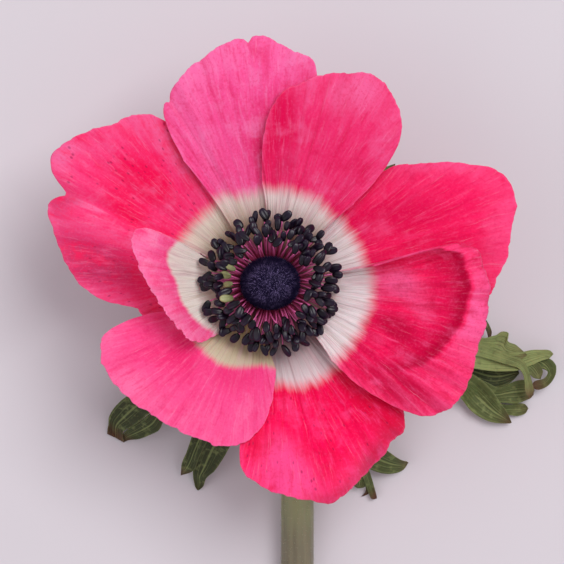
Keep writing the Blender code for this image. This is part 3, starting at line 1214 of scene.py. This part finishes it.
@dataclass(frozen=True)
class Dome:
    """The oval dome of carpels, dark and set with short blunt papillae."""

    half_length: float = 5.3
    half_width: float = 4.65
    half_height: float = 3.7
    centre_z: float = 28.0
    base_z: float = 24.4
    papillae: int = 4200
    papilla_length: float = 0.7
    papilla_width: float = 0.065

    ROWS = 40
    SIDES = 64
    COVERED_HEIGHT = 1.35
    ROOT_DEPTH = 0.985
    LEAN = 0.3
    LENGTHS = (0.6, 1.15)
    SEED = 5

    def core(self) -> Shape:
        """The dome itself: an oval ball, cut flat at its base."""
        lift = np.linspace(pi / 2, -pi / 2, self.ROWS)[:, None]
        turn = ring_turns(self.SIDES)[None, :]
        ball = np.stack(np.broadcast_arrays(
            np.cos(lift) * np.cos(turn), np.cos(lift) * np.sin(turn), np.sin(lift)), -1)
        points = (ball * self.sizes() + [0, 0, self.centre_z]).reshape(-1, 3)
        points[:, 2] = np.maximum(points[:, 2], self.base_z)
        faces = grid_faces(self.ROWS, self.SIDES, wrap=True)
        return Shape(points, [faces], {"along": np.zeros(len(points))})

    def sizes(self) -> Array:
        """The ball's half axes."""
        return np.array([self.half_length, self.half_width, self.half_height])

    def papilla_cover(self) -> Shape:
        """Papillae on a golden spiral from the top down, brightest on top and at their tips; the
        brightening on top is painted light.
        """
        number = np.arange(self.papillae)
        height = 1 - number / self.papillae * self.COVERED_HEIGHT
        spiral = number * pi * (3 - 5**0.5)
        flat = np.sqrt(1 - height**2)
        out = np.stack([flat * np.cos(spiral), flat * np.sin(spiral), height], -1)
        draw = np.random.default_rng(self.SEED)
        roots = out * self.sizes() * self.ROOT_DEPTH + [0, 0, self.centre_z]
        way = unit(out / self.sizes()) + draw.normal(0, self.LEAN, out.shape)
        length = self.papilla_length * draw.uniform(*self.LENGTHS, self.papillae)
        hairs = spikes(roots, unit(way) * length[:, None], self.papilla_width, {})
        # Each papilla's own random tone, times painted light that brightens the top of the dome and
        # leaves its sides dark.
        tone_and_top_light = draw.uniform(0.1, 1, self.papillae) ** 1.4
        tone_and_top_light = np.repeat(tone_and_top_light * (0.1 + 0.9 * smooth(1.6 * height - 0.6)), 4)
        hairs.facts["along"] = (0.45 + 0.55 * hairs.facts["along"]) * tone_and_top_light
        return hairs

    def make(self) -> None:
        """Build the core and its papillae as one piece."""
        body, hairs = self.core(), self.papilla_cover()
        finish = SmallPartTissue("dome_velvet", "#100828", "#b09ad8", 0.6, 0.08, 1.1111, 0.1)
        make_piece("carpel_dome", Shape.joined([body, hairs]), [finish.material()],
                   ["carpel_dome"])


@dataclass(frozen=True)
class StamenRow:
    """Stamens of about one length, round the dome.

    The spreads are ranges of uniform draws: of a step between neighbours, of the tip's
    radius and height in millimetres, and of an anther's size along each axis. Sway,
    turn and roll are the deviations of normal draws; the pitch is a mean and one.
    """

    name: str
    count: int
    tip_radius: float
    tip_z: float
    foot_radius: float
    foot_z: float
    bow: float
    nodes: tuple
    seed: int
    pale: tuple = ()

    STATIONS = 9
    FILAMENT_SIDES = 6
    FILAMENT_FOOT = 0.16
    FILAMENT_TAPER = 0.05
    ANTHER_LENGTH = 2.5
    ANTHER_WIDTH = 1.35
    ANTHER_HEIGHT = 1.0
    ANTHER_ROWS = 11
    ANTHER_SIDES = 16
    GROOVE_DEPTH = 0.42
    GROOVE_WIDTH = 0.12
    JOINT_SHARE = 0.42
    STEP_SPREAD = (-0.36, 0.36)
    RADIUS_SPREAD = (-0.7, 0.55)
    HEIGHT_SPREAD = (-0.5, 0.5)
    SWAY_DEGREES = 3.0
    TURN_DEGREES = 30
    PITCH = (-0.1, 0.35)
    ROLL = 0.35
    SIZE_SPREAD = (0.78, 1.18)

    def anther(self) -> Shape:
        """One anther along +X: a long oval whose halves meet in a groove on top and below.

        Around the length the radius dips near straight up and straight down.
        """
        rows, sides = self.ANTHER_ROWS, self.ANTHER_SIDES
        lift = np.linspace(0, pi, rows)[:, None]
        turn = ring_turns(sides)[None, :]
        above = bell((np.sin(turn) - 1) / self.GROOVE_WIDTH)
        below = bell((np.sin(turn) + 1) / self.GROOVE_WIDTH)
        groove = 1 - self.GROOVE_DEPTH * (above + below)
        girth = np.sin(lift) ** 0.8 * (1 - 0.12 * np.cos(lift + 0.5)) * groove
        points = np.stack(np.broadcast_arrays(
            -self.ANTHER_LENGTH / 2 * np.cos(lift),
            self.ANTHER_WIDTH / 2 * girth * np.cos(turn),
            self.ANTHER_HEIGHT / 2 * girth * np.sin(turn)), -1)
        along = np.broadcast_to(0.5 - 0.5 * np.cos(lift), (rows, sides))
        return Shape(points.reshape(-1, 3), [grid_faces(rows, sides, wrap=True)[:, ::-1]],
                     {"along": along.ravel().copy()})

    def make(self, finishes: list) -> None:
        """Build the row's filaments and anthers as one piece.

        A filament runs outwards in a straight line, bowed up by x (1 - x) and swayed
        aside by x squared; its anther sits on its end, turned and rolled a little.

        Args:
            finishes: the filament, dark anther and pale anther materials.
        """
        draw = np.random.default_rng(self.seed)
        step = 360 / self.count
        azimuth = (np.arange(self.count) + draw.uniform(*self.STEP_SPREAD, self.count)) * step
        radius = self.tip_radius + draw.uniform(*self.RADIUS_SPREAD, self.count)
        tip_z = self.tip_z + draw.uniform(*self.HEIGHT_SPREAD, self.count)
        shares = np.linspace(0, 1, self.STATIONS)[None, :]
        reach = radius - self.ANTHER_LENGTH * self.JOINT_SHARE
        line = self.foot_radius + (reach - self.foot_radius)[:, None] * shares
        z = self.foot_z + (tip_z - self.foot_z)[:, None] * shares
        z = z + self.bow * shares * (1 - shares)
        sway = draw.normal(0, self.SWAY_DEGREES, self.count)[:, None] * shares**2
        paths = polar(azimuth[:, None] + sway, line, z)
        width = self.FILAMENT_FOOT - self.FILAMENT_TAPER * shares + 0 * paths[..., 0]
        along = np.broadcast_to(shares, width.shape)
        threads = strands(paths, width, self.FILAMENT_SIDES, {"along": along}).dressed(0)
        heading = azimuth + sway[:, -1] + draw.normal(0, self.TURN_DEGREES, self.count)
        ahead = unit(polar(heading, 1.0, draw.normal(*self.PITCH, self.count)))
        origins = paths[:, -1] + ahead * self.ANTHER_LENGTH * self.JOINT_SHARE
        frames = self.anther_frames(ahead, draw)
        is_pale = np.zeros(self.count, bool)
        for place in self.pale:
            gap = np.abs((azimuth - place + 180) % 360 - 180)
            is_pale[np.argmin(gap)] = True
        parts = [threads]
        for index, chosen in ((1, ~is_pale), (2, is_pale)):
            if chosen.any():
                group = copies(self.anther(), origins[chosen], frames[chosen])
                parts.append(group.dressed(index))
        make_piece(self.name, Shape.joined(parts), finishes, list(self.nodes))

    def anther_frames(self, ahead: Array, draw: np.random.Generator) -> Array:
        """Axes of each anther: along its length, rolled about it, each axis its own size.

        Args:
            ahead: (n, 3) directions of the anthers.
            draw: the row's generator.

        Returns:
            (n, 3, 3) axes.
        """
        roll = draw.normal(0, self.ROLL, self.count)[:, None]
        beside = unit(np.cross([0.0, 0.0, 1.0], ahead))
        above = np.cross(ahead, beside)
        rolled = beside * np.cos(roll) + above * np.sin(roll)
        crown = above * np.cos(roll) - beside * np.sin(roll)
        size = draw.uniform(*self.SIZE_SPREAD, (self.count, 3, 1))
        return np.stack([ahead, rolled, crown], 1) * size


# ---------------------------------------------------------------- the whole flower


# In the tones and dulls, some patches are painted shadow cast by a neighbouring tepal: the bottom
# tepal's dark band under the lower-right one, the left tepal's dark patch beside the top-left one,
# and the dark hollow in the lower-right tepal's cup. Others are painted light. The rest are the
# petals' own deeper and lighter pink.
TEPALS = (
    Tepal("tepal_top_left", 98, Level.MIDDLE, (
        (-33, 12), (-28, 26), (-25, 32.7), (-15, 37.6), (-6, 39.9), (0, 39.6),
        (11, 37.4), (23, 34.1), (29, 30.8), (33, 23)),
        PetalTissue("petal_top_left", "#dc1a60", "#f04f92", "#f07db4", foot="#a58a70",
                    foot_length=13.5, white="#e0cbc6"), 1,
        nicks=((-3.2, 0.9, 0.8), (24.5, 0.6, 0.7)), left_edge=0.8, pleat=0.32,
        tones_and_lighting=((-10, 12, 0.5, 0.17, -1.1), (22, 8, 0.6, 0.15, 0.3), (14, 16, 0.9, 0.25, 0.3),
               (-20, 6, 0.95, 0.1, -0.4), (6, 7, 0.75, 0.12, -0.25)),
        white=((-33, 13), (-22, 13.6), (-3, 12.3), (11, 12), (25, 13.2), (33, 13))),
    Tepal("tepal_top_right", 68, Level.INNER, (
        (-32, 16.4), (-28, 24.8), (-24, 30.1), (-16, 34.5), (-8, 36.8), (4, 35.1),
        (15, 32), (26, 27), (32, 20), (36, 14)),
        PetalTissue("petal_top_right", "#dc0a50", "#ec2e6e", "#ef6299", foot="#a98f78",
                    foot_length=11.0, white="#dfcbc9"), 2,
        left_edge=0.6, right_edge=0.5, pleat=0.35,
        tones_and_lighting=((24, 9, 0.85, 0.2, -1.1), (-4, 9, 0.93, 0.12, 0.8), (12, 9, 0.7, 0.1, -0.5),
               (2, 9, 0.8, 0.1, 0.3), (-18, 7, 0.8, 0.3, -0.2)),
        dulls_in_shade=((20, 10, 0.55, 0.1, 0.5), (-20, 6, 0.55, 0.12, 0.3)),
        white=((-32, 11), (-20, 12), (36, 12))),
    Tepal("tepal_right", 14, Level.OUTER, (
        (-29, 18), (-24, 30.7), (-14, 36.7), (-2, 40), (8, 42.5), (14, 41.2),
        (20, 37), (28, 31), (36, 26), (42, 19)),
        PetalTissue("petal_right", "#df044e", "#f21a5e", "#f25088", white="#f0e4e5"), 3,
        tones_and_lighting=((18, 16, 0.56, 0.18, -0.9), (26, 9, 0.98, 0.07, 0.6), (-2, 14, 0.93, 0.12, 0.5),
               (-5, 6, 0.72, 0.1, -0.8), (36, 6, 0.7, 0.2, 0.3)),
        white=((-29, 13), (20, 12.8), (42, 11.8))),
    Tepal("tepal_lower_right", -22, Level.INNER, (
        (-40, 14), (-30, 24.3), (-22, 32), (-10, 35), (4, 34.2), (18, 34.7),
        (30, 34.2), (38, 31.5), (41, 26), (42, 18)),
        PetalTissue("petal_lower_right", "#c6003e", "#ee1458", "#f45a94", white="#e6d8da"), 4,
        lip_step=5.2, lip_droop=2.2, pleat=0.35, right_edge=1.2,
        tones_and_lighting=((28, 9, 0.55, 0.12, 1.0), (13, 8, 0.68, 0.1, 0.6), (3, 7, 0.56, 0.11, -1.3),
               (-6, 6, 0.5, 0.06, 0.5), (-22, 12, 0.82, 0.22, -0.7), (-10, 7, 0.9, 0.1, 0.3)),
        creases=((-9, 3.0, 0.4, 1.0), (-19, 3.0, 0.4, 0.8)),
        white=((-40, 13), (-30, 13.6), (-12, 14.2), (1, 13.9), (15, 14.2), (33, 13.4), (42, 13))),
    Tepal("tepal_bottom", -78, Level.OUTER, (
        (-31, 17), (-26, 27.8), (-18, 31.8), (-5, 34.5), (4, 36.4), (15, 34.4),
        (29, 32.2), (39, 30.4), (44, 25), (46, 17)),
        # The bottom tepal's dark mauve foot, run out long, is painted shade from the stamens and the
        # lower-right tepal.
        PetalTissue("petal_bottom", "#d8003c", "#f60052", "#f4488a", specks=0.7, foot="#6e5456",
                    foot_length=19.0, white="#ead8dc", dull_in_shade="#b82a50"), 5,
        tones_and_lighting=((24, 12, 0.6, 0.2, -0.4), (-8, 12, 0.93, 0.2, 0.9), (37, 7, 0.75, 0.35, -1.8),
               (-10, 8, 0.75, 0.1, 0.4)),
        dulls_in_shade=((24, 14, 1.0, 0.09, 1.0), (4, 8, 1.0, 0.06, 0.6)),
        white=((-31, 13), (-10, 14), (2, 15), (15, 15.4), (28, 15), (46, 15))),
    Tepal("tepal_bottom_left", -133, Level.MIDDLE, (
        (-42, 18.5), (-37, 26.2), (-29, 28.8), (-15, 28.7), (0, 27.3), (20, 26.5),
        (38, 26), (48, 23), (57, 17.5), (64, 13)),
        # The olive-brown foot is partly its own colour and partly painted shade from the stamens.
        PetalTissue("petal_bottom_left", "#e5256e", "#f14789", "#f16ea1", foot="#8e7850",
                    foot_length=15.0, white="#cdbfa6", softness=0.9), 6,
        swells=((10, 30, 0.45, 0.25, 1.0),),
        tones_and_lighting=((30, 18, 0.54, 0.12, -0.6), (-12, 14, 0.56, 0.14, -0.9), (-10, 16, 0.93, 0.12, 0.6),
               (22, 12, 0.8, 0.12, 0.3), (46, 9, 0.85, 0.12, -0.4), (-2, 9, 0.74, 0.07, -0.3)),
        white=((-42, 12), (0, 13), (18, 13), (35, 11.5), (52, 10.3), (64, 10))),
    Tepal("tepal_left_inner", 186, Level.INNER, (
        (-43, 12), (-40, 17.5), (-36, 20.6), (-30, 21), (-22, 19.4), (-5, 16.2), (12, 14.4),
        (30, 13.6), (46, 13), (56, 10.5), (62, 8.5)),
        PetalTissue("petal_left_inner", "#f52c74", "#ff62a0", "#ff95c0", foot="#b8a284",
                    white="#efe2da", softness=1.0), 7,
        stand=13.0, pleat=0.2, tones_and_lighting=((-8, 10, 0.9, 0.1, -0.5), (-36, 6, 1.0, 0.1, -0.9)),
        white=((-43, 17), (-28, 19.5), (-10, 15.5), (11, 14), (30, 11.5), (50, 9), (62, 8))),
    Tepal("tepal_left", 160, Level.OUTER, (
        (-50, 20), (-44, 30.5), (-36, 35), (-28, 36.5), (-18, 40), (-11, 41),
        (-4, 37.8), (2, 37.5), (10, 34.6), (20, 31.5), (30, 27), (38, 21), (43.5, 20),
        (47, 16)),
        PetalTissue("petal_left", "#ec0850", "#f03474", "#ea6498", specks=0.7, foot="#a18b6a",
                    foot_length=12.0, white="#d8cabc", dull_in_shade="#bc2c5e"), 8,
        nicks=((-4.2, 2.3, 1.9),), creases=((-4.2, 2.5, 0.5, 1.2),),
        tones_and_lighting=((-24, 8, 0.64, 0.17, -1.3), (-8, 7, 0.62, 0.14, -0.8), (-41, 7, 0.75, 0.35, 0.8),
               (-14, 5, 0.97, 0.06, 0.8), (-3.4, 0.8, 0.88, 0.1, 2.2), (20, 7, 0.55, 0.1, 0.4)),
        dulls_in_shade=((16, 12, 0.85, 0.25, 1.0), (-2, 5, 0.97, 0.08, 0.6), (-44, 5, 0.75, 0.3, 0.4)),
        white=((-50, 12.5), (-34, 12.5), (-10, 13.5), (45, 13.5))),
)

# A leaflet's tone, the number after its edges, is partly its own green and partly painted light and
# shade: darker where it lies in another leaflet's shadow.
BRACTS = (
    Bract("bract_right", 46, (
        Leaflet(-27, ((37, -16), (39.5, -17.8), (41.5, -19.1), (43.2, -20.7), (45.5, -23.8),
            (46.6, -25.3), (47.8, -27.8)), ((34, -19.5), (37.9, -23.1), (39.5, -25.1),
            (41.5, -26.6), (43.6, -27.5), (46.2, -27.8), (47.8, -27.8)), 0.42, 1.2, 0.45),
        Leaflet(-22, ((36, -14.5), (41, -15.6), (45.4, -16.4), (48.9, -17.0), (49.4, -18)),
            ((35, -17), (40, -19.5), (44, -21), (47.6, -19.8), (49.4, -18)), 0.02, 0.2, 0.2, 0.2),
        Leaflet(-24, ((38, -17), (43, -19.8), (45.4, -20.8), (47.4, -20.0), (48.9, -19.4),
            (51.2, -19.4), (52.2, -20.4), (52.2, -21.8)), ((38, -20), (43, -23.5), (46.5, -23.8),
            (48.9, -23.9), (50.7, -23.3), (51.8, -22.7), (52.2, -21.8)), 0.42, 0.8, 0.15, 0.7),
        Leaflet(-28, ((39, -19), (44, -23.4), (47.4, -24.2), (48.9, -24.0), (50.5, -24.1),
            (51.2, -24.9)), ((38, -21), (43, -25.4), (47.4, -26.2), (48.9, -26.4), (50.6, -25.9),
            (51.2, -24.9)), 0.5, 0.5, 0.2, 0.3),
        Leaflet(-16, ((36, -9.2), (40, -10.2), (41.9, -10.8), (43.6, -10.5), (44.7, -10.2),
            (45.5, -9.6), (46.9, -9.9), (46.5, -10.9), (46.9, -11.6), (48.2, -12.1), (49.2, -12.9),
            (50.6, -14.2)), ((36, -11), (39.8, -12), (41.5, -12.8), (43.2, -13.8), (44.8, -14.6),
            (46, -15), (46.8, -15.2), (47.4, -15.3), (48, -15.3), (48.6, -15.2), (49.4, -15),
            (50.6, -14.2)), 0.8, 3.6, 0.1, 0.5),
        Leaflet(-18, ((36, -12.2), (41.1, -13.6), (44, -13.8), (48, -13.6), (49.8, -13.6),
            (51.1, -13.3), (53.3, -13.2), (55.2, -13.4), (55.8, -14.0)), ((36, -15.6),
            (40.1, -16.8), (43, -17.3), (46, -17.4), (48.8, -17.2), (51.3, -16.3), (53.7, -15.2),
            (55.0, -14.8), (55.8, -14.0)), 1.0, 3.4, 0.22, 0.1),
        Leaflet(-18, ((47, -13.9), (50, -14.0), (53.4, -14.9), (55.2, -15.0), (56.3, -16.2),
            (56.3, -18.0), (55.5, -19.6), (54.0, -20.8), (52.4, -21.1), (51.6, -20.3)),
            ((47, -15.5), (50, -15.7), (52.6, -16.4), (54.2, -16.7), (54.8, -17.3), (54.7, -18.1),
            (54.2, -18.8), (52.9, -19.2), (52.2, -19.4), (51.6, -20.3)), 0.35, 2.6, 0.15, 0.9),
        Leaflet(-18, ((47, -14.5), (50, -15), (53.2, -16.2), (53.7, -17.4), (53.3, -19.0)),
            ((47, -16), (49.5, -16.6), (50.8, -17.6), (52.1, -18.8), (53.3, -19.0)), 0.6, 3.0, 0.2,
            0.3),
        Leaflet(-18, ((47, -14.2), (50, -15.6), (50.9, -17.6), (51.4, -19.4), (51.8, -21.1),
            (51.1, -22.8)), ((47, -16.2), (48.8, -16.8), (49.6, -17.8), (50.0, -19.4),
            (50.2, -21.6), (51.1, -22.8)), 0.8, 4.2, 0.2, 0.8),
        Leaflet(-9, ((38, -5), (42.2, -7), (43.2, -8.4), (43.7, -9.7), (43.4, -11.3)), ((38, -7),
            (41.2, -8), (42.3, -8.8), (42.8, -9.8), (43.4, -11.3)), 0.1, 1.5, 0.2, 1.0),
        Leaflet(-1, ((38, 0.3), (42.6, 0.1), (43.9, -0.6)), ((38, -1.2), (42.6, -1.6),
            (43.9, -0.6)), 0.3, 1.5, 0.2, 1.0),
        Leaflet(-58, ((18, -29), (22.9, -33.0), (24.2, -34.0), (25.7, -35.0), (27.3, -35.6)),
            ((14, -31), (17.5, -35.5), (19.7, -36.8), (21.5, -37.5), (24.0, -37.8), (26.3, -37.1),
            (27.3, -35.6)), 0.3, 0.6, 0.2, 0.5),
        Leaflet(-63, ((16, -31), (19.0, -36), (20.0, -38.8), (20.5, -40.5), (21.1, -42.8)),
            ((14, -32), (17.6, -37), (18.6, -39.4), (19.3, -41.3), (20.2, -43.0), (21.1, -42.8)),
            0.4, 0.8, 0.2, 1.0),
        Leaflet(-66, ((15, -31), (18.3, -37), (19.0, -39.2), (18.7, -40.4), (17.2, -40.7)),
            ((12, -32), (15, -37), (16.2, -39.4), (16.5, -40.2), (17.2, -40.7)), 0.35, 0.4, 0.2,
            0.2),
        Leaflet(-65, ((15.5, -31), (18.7, -37), (19.5, -40), (19.5, -41.8), (18.0, -42.5)),
            ((14.5, -32), (17.8, -38), (18.8, -40.5), (18.9, -41.7), (18.0, -42.5)), 0.1, 0.3, 0.2,
            1.0),
    ), 100),
    Bract("bract_left", 43, (
        Leaflet(-140, ((-19, -21), (-24.3, -25.9), (-27, -28.1), (-29.4, -29.7), (-29.2, -31.7)),
            ((-24, -19.5), (-29.7, -23.4), (-31.1, -24.9), (-32.1, -26.6), (-32.3, -28.3),
            (-32.5, -30.0)), 0.06, 0.6, 0.3, 0.7),
        Leaflet(-128, ((-14, -22), (-18.6, -24), (-20.9, -26.8), (-22.0, -28.9), (-24, -30.0),
            (-26.2, -30.9), (-28.2, -31.2), (-29.3, -31.7)), ((-19, -20), (-22, -24),
            (-24.3, -26.1), (-26.6, -27.9), (-28.6, -29.2), (-29.5, -30.2), (-29.3, -31.7)), 0.14,
            0.2, 0.25, 0.7),
        Leaflet(-115, ((-10, -26), (-12.5, -31), (-14, -34), (-15.5, -37.2), (-17.9, -38.2)),
            ((-14, -26), (-15.8, -31.2), (-16.6, -33.4), (-17.5, -35.4), (-17.9, -38.2)), 0.1, 0.6,
            0.3, 0.7),
        Leaflet(-108, ((-6, -28), (-8.2, -32.3), (-9.8, -35.1), (-11.2, -37.1), (-12.9, -38.8),
            (-13.6, -40.6), (-14.5, -41.3)), ((-12, -28), (-14.2, -32), (-15.3, -36),
            (-15.3, -39.4), (-14.9, -40.8), (-14.5, -41.3)), 0.08, 0.2, 0.35, 0.2),
        Leaflet(-165, ((-19, -7.5), (-22, -8), (-25, -9)), ((-20, -3.5), (-23.5, -5.5), (-25, -9)),
            0.3, 0.2, 0.3, 0.5),
    ), 120),
    Bract("bract_top", 37, (
        Leaflet(50, ((18, 21), (22.5, 22.8), (24.6, 23.6)), ((20, 17), (23.8, 20.5), (24.6, 23.6)),
            0.4),
        Leaflet(68, ((10, 28), (12, 32), (14, 34)), ((16, 25), (16.5, 30), (14, 34)), 0.3),
        Leaflet(90, ((-3.5, 26), (-2.5, 33), (0, 37)), ((3.5, 26), (3, 33), (0, 37)), 0.4),
        Leaflet(114, ((-14, 26), (-16, 30), (-15, 34)), ((-9, 28), (-10, 31), (-15, 34)), 0.3),
    ), 140),
)

STAMEN_NODES = tuple(f"stamen_{number:02d}" for number in range(1, 47))

STAMEN_ROWS = (
    StamenRow("stamens_outer", 56, 12.5, 25.7, 4.7, 23.5, 2.4, STAMEN_NODES[:20], 41),
    StamenRow("stamens_middle", 54, 11.1, 27.0, 4.4, 24.0, 1.8, STAMEN_NODES[20:34], 42),
    StamenRow("stamens_inner", 44, 9.7, 28.3, 4.2, 24.5, 0.8, STAMEN_NODES[34:], 43),
    StamenRow("stamens_innermost", 36, 8.3, 29.3, 4.1, 24.8, 0.0, (), 44, pale=(158, 170, 182, 193)),
)


@dataclass(frozen=True)
class Studio:
    """The pale floor, the soft lights and the camera that looks straight down."""

    floor_colour: str = "#cfc9cf"
    camera_height: float = 400.0
    camera_x: float = 2.2
    camera_y: float = 0.2
    lens: float = 128.1
    key_power: float = 9.2
    key_place: tuple = (440, 400, 1050)
    key_size: float = 650
    fill_power: float = 2.6
    fill_place: tuple = (-840, -240, 840)
    fill_size: float = 1000
    aim: tuple = (0, 0, 25)
    sky: float = 0.6
    sky_colour: str = "#f4f0f4"
    floor_half_side: float = 3000

    def make(self) -> None:
        """Build the floor, the lights and the camera."""
        self.make_floor()
        self.make_light("key", self.key_place, self.key_size, self.key_power)
        self.make_light("fill", self.fill_place, self.fill_size, self.fill_power)
        scene = bpy.context.scene
        scene.view_settings.view_transform = "Standard"
        world = bpy.data.worlds.new("studio_air")
        world.use_nodes = True
        air = world.node_tree.nodes["Background"]
        air.inputs["Color"].default_value = linear(self.sky_colour)
        air.inputs["Strength"].default_value = self.sky
        scene.world = world
        lens = bpy.data.cameras.new("camera")
        lens.lens = self.lens
        lens.clip_start = 0.01
        camera = bpy.data.objects.new("camera", lens)
        place = np.array([self.camera_x, self.camera_y, self.camera_height])
        camera.location = HEAD + place * MM
        scene.collection.objects.link(camera)
        scene.camera = camera

    def make_floor(self) -> None:
        """A wide flat floor of matt card."""
        mesh = bpy.data.meshes.new("floor")
        side = self.floor_half_side * MM
        corners = [(-side, -side, 0), (side, -side, 0), (side, side, 0), (-side, side, 0)]
        mesh.from_pydata(corners, [], [(0, 1, 2, 3)])
        material, _, _ = start_material(
            "floor_card", Base_Color=linear(self.floor_colour), Roughness=0.9,
            Specular_IOR_Level=0.1,
        )
        mesh.materials.append(material)
        floor = bpy.data.objects.new("floor", mesh)
        bpy.context.scene.collection.objects.link(floor)

    def make_light(self, name: str, place: tuple, size: float, power: float) -> None:
        """A soft square light, turned to the flower.

        Args:
            name: the light's name.
            place: where it hangs, in millimetres about the head.
            size: length of its side in millimetres.
            power: its power in watts.
        """
        light = bpy.data.lights.new(name, "AREA")
        light.energy = power
        light.size = size * MM
        lamp = bpy.data.objects.new(name, light)
        lamp.location = HEAD + np.array(place) * MM
        way = Vector(self.aim) - Vector(place)
        lamp.rotation_euler = way.to_track_quat("-Z", "Y").to_euler()
        bpy.context.scene.collection.objects.link(lamp)


def head_origin() -> Array:
    """The head's axis on the surface, in metres, from the dome's box in the frame."""
    low, high = (np.array(corner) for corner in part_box("carpel_dome"))
    middle = (low + high) / 2
    return np.array([middle[0], middle[1], CAD_BOX[0][2]])


HEAD = head_origin()


def main() -> None:
    """Build every piece, then the studio."""
    logging.basicConfig(level=logging.INFO, format="%(name)s %(message)s")
    Stem().make()
    leaf = LeafTissue().material()
    for bract in BRACTS:
        bract.make(leaf)
    for tepal in TEPALS:
        tepal.make()
    Dome().make()
    threads = SmallPartTissue("filament_magenta", "#8e0f35", "#d865a2", 0.45)
    dark = SmallPartTissue("anther_black", "#07030a", "#1c1026", 0.28, 0.28)
    pale = SmallPartTissue("anther_green", "#5d6138", "#9a9c6c", 0.45)
    finishes = [threads.material(), dark.material(), pale.material()]
    for row in STAMEN_ROWS:
        row.make(finishes)
    Studio().make()
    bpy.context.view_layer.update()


if __name__ == "__main__":
    main()
